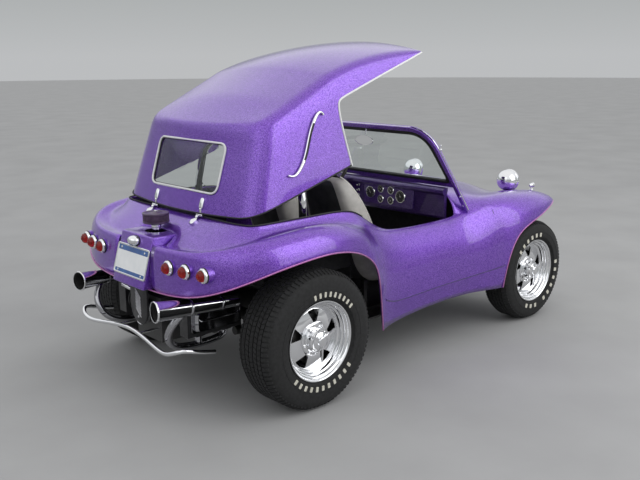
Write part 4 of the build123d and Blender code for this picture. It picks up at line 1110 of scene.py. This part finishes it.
def seat(name, side):
    """Bucket seat in pale vinyl with piped bolsters, sewn channels and a dark back shell; the piping's paleness is
    partly a painted highlight.
    """
    cushion = Heap(SEAT)
    rows = []
    ridges = {-1: [], 1: []}
    shift = vec(0, side * SEAT_Y, 0)
    for i, (x, z, half, bolster, thick) in enumerate(SEAT_ROWS):
        centre, out = seat_frame(i)
        centre += shift
        front = [centre + vec(0, half * share, 0) + out * bolster * rise for share, rise in SEAT_FRONT]
        back = [centre + vec(0, half * share, 0) - out * thick * drop for share, drop in SEAT_SHELL]
        rows.append(front + back)
        for end in (-1, 1):
            ridges[end].append(centre + vec(0, half * PIPING_OUT * end, 0) + out * (bolster * PIPING_RISE))
    cushion.skin(rows)
    count = len(rows[0])
    cushion.looks.append(SEAT_BACK)
    for index, face in enumerate(cushion.faces):
        if len(face) == 4 and index % count in SEAT_DARK:
            cushion.marks[index] = 1
    piece = cushion.piece(f"seat_{name}_cushion", "seat_vinyl", sharp=180)
    subdivide(piece)
    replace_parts(piece, f"seat_{name}")
    # Piping along the bolster crests, its pale colour partly a painted highlight
    piping = Heap(PIPING)
    for end in (-1, 1):
        piping.tube(smooth(ridges[end], 4), 4.5, 8)
    piping.piece(f"seat_{name}_piping", "seat_vinyl")
    seams = Heap(SEAT_BACK)
    for i in SEAT_CHANNELS:
        x, z, half, bolster, thick = SEAT_ROWS[i]
        centre, out = seat_frame(i)
        line = [centre + shift + vec(0, half * share, 0) + out * (bolster * rise - 1)
                for share, rise in SEAT_FRONT[3:-3]]
        seams.tube(smooth(line, 3), 2.6, 6)
    seams.piece(f"seat_{name}_seams", "seat_vinyl")
    legs = Heap(CHASSIS)
    for y in (side * SEAT_Y - 150, side * SEAT_Y + 150):
        legs.brick((660, y - 10, 281), (1020, y + 10, 300))
        for x in (690, 990):
            legs.brick((x - 14, y - 8, 295), (x + 14, y + 8, 470))
    legs.piece(f"seat_{name}_frame", "chassis_black")


seat("left", 1)
seat("right", -1)

ROLL_HALF = ((190, 480, 628), (190, 476, 1010), (200, 400, 1270))

# Chrome hoop behind the seats, on two round feet
bar = Heap(CHROME)
route = list(ROLL_HALF) + sided(ROLL_HALF[::-1])
bar.tube(bend(route, (200, 165, 165, 200), 10), 22, 20)
for side in (1, -1):
    bar.lathe(pose((190, side * 480, 628)), ((44, 0), (44, 6), (26, 8), (22, 14)), 32)
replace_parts(bar.piece("roll_bar_hoop", "chrome"), "roll_bar")

PEDALS = ((420, 1500, 34), (340, 1500, 34), (250, 1480, 60))

# Gear lever with its gaiter, hand brake and pedals
small = Heap(CHROME)
small.capsule((930, 0, 425), (900, 0, 640), 7)
small.capsule((780, 0, 425), (690, 0, 500), 8)
small.use(GASKET)
knob = ((0, -24), (14, -18), (21, -4), (20, 8), (12, 20), (0, 24))
small.lathe(pose((899, 0, 655)), knob, 24)
small.lathe(pose((930, 0, 420)), ((52, 0), (44, 10), (20, 30), (9, 50)), 28)
small.capsule((720, 0, 475), (682, 0, 507), 12)
for y, x, high in PEDALS:
    small.use(CHASSIS).capsule((x + 50, y, 420), (x, y, 500), 6)
    small.use(ALLOY).slab(pose((x - 4, y, 505), (-0.8, 0, 0.6)), rounded_box(26, high, 7), 8, 2)
small.piece("cabin_controls", "chrome")

# Profiles as radius and height over the tyre's side, and as distances in from the tread and the side
WALL = ((194.5, -30), (205, -22), (211, -19), (216, -14), (221, -10), (227, -3), (234, 0), (262, 0.5))
SHOULDER = ((62, 1), (40, 6), (26, 13), (14, 26), (8, 42))
# Profiles of the rim as radius and height over its face, of its back edge, of its dish as depth, and its hub
RIM_LIP = ((194, -16), (205, -7), (209, -3), (210, 1), (208, 4), (204, 4), (199, 0), (196, -10), (189, -13),
           (186, -16), (184, -30), (177, -33), (175, -36), (173, -52), (167, -55), (164, -58), (163, -66))
RIM_BACK = ((162, 20), (186, 14), (204, 0), (209, 2), (205, 7), (194, 16))
DISH = ((166, 64), (160, 60), (150, 57), (120, 50), (98, 46), (88, 48), (72, 49), (60, 48), (20, 48),
        (20, 58), (90, 58), (120, 60), (150, 67), (158, 72), (164, 72))
BOSS = ((84, -52), (84, -46), (80, -43), (66, -42), (62, -38), (60, -14), (57, -10), (52, -9),
        (50, -6), (48, 0), (42, 4), (31, 5), (28, 7), (27, 15), (23, 18), (0, 19))
RIM_INSET = 16
MARK_R = 243
MARK_HIGH = 27
# Arcs of raised marks: first and last angle seen from the car's right, forward towards up, and how many
REAR_MARKS = ((106, 34, 9), (217, 322, 11))
FRONT_MARKS = ((146, 75, 6), (12, -68, 6), (-80, -118, 3))
# Wheels: end, x, y, radius, width, the drum's inner face, and the tread's pitches, ribs and marks
WHEELS = (
    ("rear", 0, 710, 360, 250, -133, 88, 5, REAR_MARKS),
    ("front", 2032, 640, 334, 205, -83, 82, 4, FRONT_MARKS),
)
TREAD_SUNK = 0.6
TREAD_EDGE = 50
SHOULDER_IN = 16
BLOCK_SKEW = 0.35
BLOCK_LONG = 0.86
RIM_TURN = 0.3
SPINNER_TURN = 0.5
VALVE_TURN = 0.9


def mark_angle(angle, side):
    """Angle about a wheel's own axis of a direction seen from the car's right."""
    local = pose((0, 0, 0), (0, side, 0)).inverted() @ vec(cos(angle), 0, sin(angle))
    return atan2(local.y, local.x)


def tread_block(rubber, at, radii, corners, deep):
    """Raised block with corners as (distance across, distance round) and a radius for each."""
    rows = []
    for inward in (deep, 0):
        spots = [(radius - inward, around / radii[0], across)
                 for (across, around), radius in zip(corners, radii)]
        rows.append([at @ vec(r * cos(turn), r * sin(turn), across) for r, turn, across in spots])
    rubber.skin(rows)


def tyre(name, at, radius, width, side, pitches, ribs, arcs):
    """Carcass, tread and shoulder blocks and arcs of plain raised marks."""
    half = width / 2
    wall = [(r, half + h) for r, h in WALL] + [(radius - r, half - h) for r, h in SHOULDER]
    wall.append((radius - 8, 0))
    rubber = Heap(RUBBER)
    rubber.lathe(at, wall + [(r, -h) for r, h in wall[-2::-1]], 120, closed=True)
    for ring_r in (MARK_R - 19, MARK_R + 20):
        ring = ((ring_r - 1.2, half - 1), (ring_r, half + 1.8), (ring_r + 1.2, half - 1))
        rubber.lathe(at, ring, 96, closed=True)
    flat = half - TREAD_EDGE
    rib = 2 * flat / ribs
    pitch = 2 * pi * radius / pitches
    outside, shoulder = radius - TREAD_SUNK, radius - SHOULDER_IN
    for k in range(pitches):
        start = pitch * k
        for j in range(ribs):
            low, high = -flat + rib * j + 3, -flat + rib * (j + 1) - 3
            skew = (BLOCK_SKEW if j % 2 else -BLOCK_SKEW) * pitch
            first = start + 0.5 * pitch * (j % 2)
            corners = ((low, first), (high, first + skew), (high, first + skew + pitch * BLOCK_LONG),
                       (low, first + pitch * BLOCK_LONG))
            tread_block(rubber, at, (outside,) * 4, corners, 9)
        for end in (1, -1):
            inner, outer = end * (flat + 4), end * (half - SHOULDER_IN)
            corners = ((inner, start), (outer, start + pitch * 0.1), (outer, start + pitch * 0.66),
                       (inner, start + pitch * 0.8))
            tread_block(rubber, at, (outside, shoulder, shoulder, outside), corners, 10)
    rubber.use(PALE_BLOCK)
    for first, last, count in arcs:
        step = (last - first) / count
        for k in range(count):
            turn = mark_angle(radians(first + step * (k + 0.5)), side)
            long = abs(radians(step)) * MARK_R * 0.2
            spot = at @ spin(turn) @ move(MARK_R, 0, half - 1)
            rubber.slab(spot, rounded_box(MARK_HIGH / 2, long, 3.5, 2), 3.2, 0.6)
    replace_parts(rubber.piece(f"tyre_{name}_dressed", "tyre_rubber", f"wheel_{name}"), f"tyre_{name}")


def rim(name, at, width, drum_in):
    """Chrome rim with a stepped lip, a windowed dish, a big hub and a three-bar spinner."""
    face = width / 2 - RIM_INSET
    body = f"wheel_{name}"
    barrel = Heap(CHROME)
    lip = [(r, face + h) for r, h in RIM_LIP] + [(r, h - face) for r, h in RIM_BACK]
    barrel.lathe(at, lip, 96, closed=True)
    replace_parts(barrel.piece(f"rim_{name}_barrel", "chrome", body), f"rim_{name}")
    dish = Heap(CHROME)
    dish.lathe(at, [(r, face - depth) for r, depth in DISH], 100, closed=True)
    windows = Heap(GASKET)
    outline = bend([(90, -9, 0), (149, -41, 0), (157, 0, 0), (149, 41, 0), (90, 9, 0)], 7, 3, closed=True)
    for k in range(5):
        turn = spin(2 * pi * k / 5 + RIM_TURN) @ move(0, 0, face - 80)
        windows.slab(at @ turn, [point.xy for point in outline], 80)
    disc = dish.piece(f"rim_{name}_dish", "chrome", body)
    carve(disc, windows.piece("cutter", "chrome", body), 28)
    round_edges(disc, 1.6)
    hub = Heap(CHROME)
    hub.lathe(at, [(r, face + h) for r, h in BOSS], 72)
    for k in range(3):
        bar = spin(2 * pi * k / 3 + SPINNER_TURN) @ move(0, 0, face + 3)
        hub.slab(at @ bar, ((18, -9), (100, -3.5), (105, 0), (100, 3.5), (18, 9)), 9, 2)
    for k in range(5):
        nut = spin(2 * pi * (k + 0.5) / 5 + RIM_TURN) @ move(73, 0, face - 45)
        hub.lathe(at @ nut, ((8.5, 0), (8.5, 8), (6, 12), (0, 13)), 6)
    valve = spin(VALVE_TURN) @ move(183, 0, face - 34)
    hub.lathe(at @ valve, ((3.5, 0), (3.5, 24), (2, 28)), 10)
    hub.piece(f"rim_{name}_hub", "chrome", body, sharp=30)
    drum = Heap(CHASSIS)
    drum.lathe(at, ((125, drum_in), (125, face - 84), (118, face - 78)), 48)
    drum.piece(f"drum_{name}", "chassis_black", body)


for end, x, y, radius, width, drum_in, *tread in WHEELS:
    for hand, side in (("left", 1), ("right", -1)):
        at = pose((x, side * y, radius), (0, side, 0))
        tyre(f"{end}_{hand}", at, radius, width, side, *tread)
        rim(f"{end}_{hand}", at, width, drum_in)

# Engine, exhaust and bumpers

PIPE_TIP = vec(-679, 382, 560)
PIPE_RUN = vec(440, 78, -15).normalized()
PIPE_LENGTH = 445
CYLINDER_X = (-380, -215)
PORT_Z = 362

HEADER_LINE = ((-215, 300, 362), (-215, 300, 334), (-240, 300, 314), (-330, 302, 308), (-450, 305, 310),
               (-545, 315, 334), (-592, 342, 402), (-582, 385, 478))

# Chrome megaphones, black inside, and the header loops below them, in chrome darkened as painted shade
trumpets = Heap(CHROME)
pipes = Heap(SHADED_CHROME)
for side in (1, -1):
    tip, run = (vec(x, side * y, z) for x, y, z in (PIPE_TIP, PIPE_RUN))
    at = pose(tip, run)
    length = PIPE_LENGTH
    trumpet = ((48, 1), (51, 0), (53.5, 3), (53.5, 8), (51, 11), (28, length), (24, length), (47, 12))
    trumpets.use(CHROME).lathe(at, trumpet, 64, closed=True)
    soot = ((47.4, 10), (23.5, length - 4), (0, length - 4), (0, length - 6), (22, length - 8), (46.6, 10))
    trumpets.use(SOOT).lathe(at, soot, 64, closed=True)
    rise = tip + run * 170
    route = sided(HEADER_LINE, side) + [(rise.x, rise.y, rise.z - 10)]
    pipes.tube(smooth(route, 6), 19, 16)
    pipes.rod((CYLINDER_X[0], side * 304, PORT_Z), (CYLINDER_X[0], side * 304, PORT_Z - 45), 19)
    for x in CYLINDER_X:
        pipes.slab(pose((x, side * 302, PORT_Z - 10)), rounded_box(38, 22, 16), 9, 1)
    for share in (0.42, 0.8):
        collar = 53 - 24 * share
        pipes.lathe(pose(tip + run * length * share, run),
                    ((collar, -8), (collar + 1, -6), (collar + 1, 6), (collar, 8)), 40)
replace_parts(trumpets.piece("trumpets", "chrome"), "megaphones")
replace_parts(pipes.piece("header_pipes", "chrome"), "headers")

REAR_BUMPER = ((-420, 505, 330), (-520, 505, 350), (-606, 505, 384), (-636, 430, 345), (-632, 350, 336),
               (-616, 220, 352), (-606, 110, 366), (-600, 0, 374))
FRONT_BUMPER = ((2194, 346, 440), (2380, 345, 440), (2451, 300, 520))

# Thin bent chrome tubes at both ends
rear = list(REAR_BUMPER) + sided(REAR_BUMPER[-2::-1])
tubes = Heap(CHROME)
tubes.tube(smooth(rear, 6), 11, 14)
for y in (-100, 100):
    tubes.rod((-602, y, 367), (-480, y, 367), 7)
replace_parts(tubes.piece("rear_bumper_tube", "chrome"), "rear_bumper")
front = list(FRONT_BUMPER) + sided(FRONT_BUMPER[::-1])
bar = Heap(CHROME)
bar.tube(bend(front, 45), 11, 14)
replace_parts(bar.piece("front_bumper_bar", "chrome"), "front_bumper")

GUARD_HALF = 80
LOUVRES = 7

# Plate over the belt, round below, with a ladder of steep bright louvres
guard = Heap(ENGINE_BLACK)
arc = [pi * k / 14 for k in range(15)]
outline = [(-GUARD_HALF * cos(t), -120 - GUARD_HALF * sin(t)) for t in arc]
outline += [(GUARD_HALF, 108), (GUARD_HALF - 12, 120), (12 - GUARD_HALF, 120), (-GUARD_HALF, 108)]
guard.slab(pose((-528, 0, 580), (-1, 0, 0)), outline, 12, 3)
guard.use(SATIN)
for k in range(LOUVRES):
    z = 442 + 17 * k
    guard.capsule((-542, 25, z + 23), (-542, -25, z - 23), 2.6, 8)
guard.use(ALLOY)
for z in (420, 680):
    guard.lathe(pose((-540, 0, z), (-1, 0, 0)), ((9, 0), (9, 4), (0, 6)), 6)
guard.rod((-529, 0, 670), (-506, 0, 670), 40)
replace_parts(guard.piece("louvred_guard", "bright_alloy"), "belt_guard")

# Rocker covers with their wire bales, in chrome darkened as painted shade
covers = Heap(SHADED_CHROME)
for side in (1, -1):
    at = pose((-297, side * 338.6, 445), (0, side, 0))
    covers.slab(at, rounded_box(152, 60, 18), 12, 1)
    covers.slab(at @ move(0, 0, 11), rounded_box(140, 50, 22), 28, 12)
    bale = sided(((-160, 344, 500), (-180, 384, 452), (-414, 384, 452), (-434, 344, 500)), side)
    covers.tube(bend(bale, 18, 5), 3.5, 8)
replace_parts(covers.piece("rocker_covers", "chrome"), "valve_covers")

# Plug leads, coil, pulleys and heater hoses
leads = Heap(GASKET)
hoses = Heap(SOOT)
for side in (1, -1):
    for k, x in enumerate(CYLINDER_X):
        lead = ((-440, 20, 560), (-470, 70, 600 + 12 * k), (x - 20, 170, 592), (x, 262, 540), (x, 262, 505))
        leads.tube(smooth(sided(lead, side), 5), 4, 8)
        leads.rod((x, side * 262, 500), (x, side * 262, 528), 8)
    hose = ((-300, 255, 640), (-340, 300, 612), (-385, 325, 560), (-430, 300, 520))
    hoses.tube(smooth(sided(hose, side), 6), 22, 12)
leads.use(CHROME).rod((-450, 62, 532), (-450, 62, 606), 24)
leads.capsule((-524, 96, 548), (-524, 192, 556), 12)
leads.use(ALLOY).rod((-527, 0, 440), (-519, 0, 440), 66)
leads.piece("ignition_leads", "engine_black")
hoses.piece("heater_hoses", "engine_black")

HEADLAMP = (2120, 425, 902)
HEADLAMP_SCALE = 1.18
HEADLAMP_R = 62
INDICATOR = (2238, 548, 870)

# Chrome ball headlamps with clear lenses, and bullet indicators, on short stalks
heads = Heap(CHROME)
small = Heap(CHROME)
ball = [(HEADLAMP_R * sin(t), -HEADLAMP_R * cos(t)) for t in (1.86 * k / 14 for k in range(15))]
ball += [(61, 20), (63, 22), (63, 28), (59, 31), (55, 29), (53, 24), (44, 12), (28, 4), (0, 0)]
bullet = ((0, -32), (6, -30), (11, -22), (14, -8), (15, 6), (16, 12), (14, 14))
for side in (1, -1):
    x, y, z = HEADLAMP
    spot = vec(x, side * y, z)
    at = pose(spot, (1, 0, 0)) @ Matrix.Scale(HEADLAMP_SCALE, 4)
    heads.use(CHROME).lathe(at, ball, 48)
    heads.use(GLASS).lathe(at, ((0, 36), (30, 34), (54, 27), (56, 28), (50, 33), (30, 37.5), (0, 39)), 40)
    heads.use(CHROME).rod(spot + vec(0, 0, -100), spot + vec(0, 0, -56), 18, 15)
    heads.lathe(pose(spot + vec(0, 0, -68)), ((22, -8), (24, -2), (22, 4), (0, 8)), 28)
    x, y, z = INDICATOR
    spot = vec(x, side * y, z)
    at = pose(spot, (1, 0, 0))
    small.use(CHROME).lathe(at, bullet, 28)
    small.use(AMBER).lathe(at, ((0, 12), (13.5, 13), (12, 20), (7, 25), (0, 27)), 24)
    small.use(CHROME).rod(spot + vec(-6, 0, -34), spot + vec(-6, 0, -10), 6)
    small.lathe(pose(spot + vec(-6, 0, -27)), ((13, -6), (13, -2), (9, 3)), 24)
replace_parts(heads.piece("headlamp_balls", "chrome"), "headlamps")
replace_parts(small.piece("indicator_bullets", "chrome"), "indicators")

# Stage, light and camera

LIT_POINT = vec(0, 0, 0.7)

# Plain grey floor, soft sky that is darker low down, and two lamps
bpy.ops.mesh.primitive_circle_add(vertices=96, radius=60, fill_type="NGON")
floor = bpy.context.object
floor.name = "floor"
look, tree, shader = material("floor_grey", (0.34, 0.34, 0.34), 0.85)
feed(tree, shader,
     Base_Color=ramp(tree, noise(tree, 1.5, 6.0), (0.3, (0.32, 0.32, 0.32)), (0.7, (0.36, 0.36, 0.36))))
floor.data.materials.append(look)
world = bpy.data.worlds.new("sky")
bpy.context.scene.world = world
world.use_nodes = True
tree = world.node_tree
split = add(tree, "SeparateXYZ", Vector=add(tree, "TexCoord").outputs["Generated"])
shade = ramp(tree, split.outputs["Z"], (0.0, (0.5, 0.51, 0.52)), (0.1, (0.38, 0.4, 0.4)),
             (0.2, (0.36, 0.38, 0.38)), (0.34, (0.9, 0.92, 0.95)), (1.0, (1.0, 1.0, 1.0)))
feed(tree, tree.nodes["Background"], Color=shade, Strength=1.0)


def hang(data, spot, turn):
    """Object for a lamp or the camera."""
    holder = bpy.data.objects.new(data.name, data)
    holder.location = spot
    holder.rotation_euler = turn.to_euler()
    bpy.context.scene.collection.objects.link(holder)
    return holder


for name, spot, power, size in (("key", (2.5, -6.5, 4.5), 260, 7.0), ("fill", (-6.5, -1.5, 4.0), 35, 6.0)):
    lamp = bpy.data.lights.new(name, "AREA")
    lamp.energy = power
    lamp.size = size
    hang(lamp, spot, (LIT_POINT - Vector(spot)).to_track_quat("-Z", "Y"))

CAMERA_SPOT = (-3.497, -3.644, 1.752)
CAMERA_YAW = 47.3
CAMERA_PITCH = -12.8
CAMERA_ROLL = -0.3
CAMERA_LENS = 45.85

# Camera at the photograph's view
lens = bpy.data.cameras.new("camera")
lens.lens = CAMERA_LENS
lens.sensor_width = 36
yaw, pitch = radians(CAMERA_YAW), radians(CAMERA_PITCH)
forward = vec(cos(yaw) * cos(pitch), sin(yaw) * cos(pitch), sin(pitch))
turn = forward.to_track_quat("-Z", "Y") @ Matrix.Rotation(radians(CAMERA_ROLL), 3, "Z").to_quaternion()
bpy.context.scene.camera = hang(lens, CAMERA_SPOT, turn)
bpy.context.scene.view_settings.view_transform = "Standard"
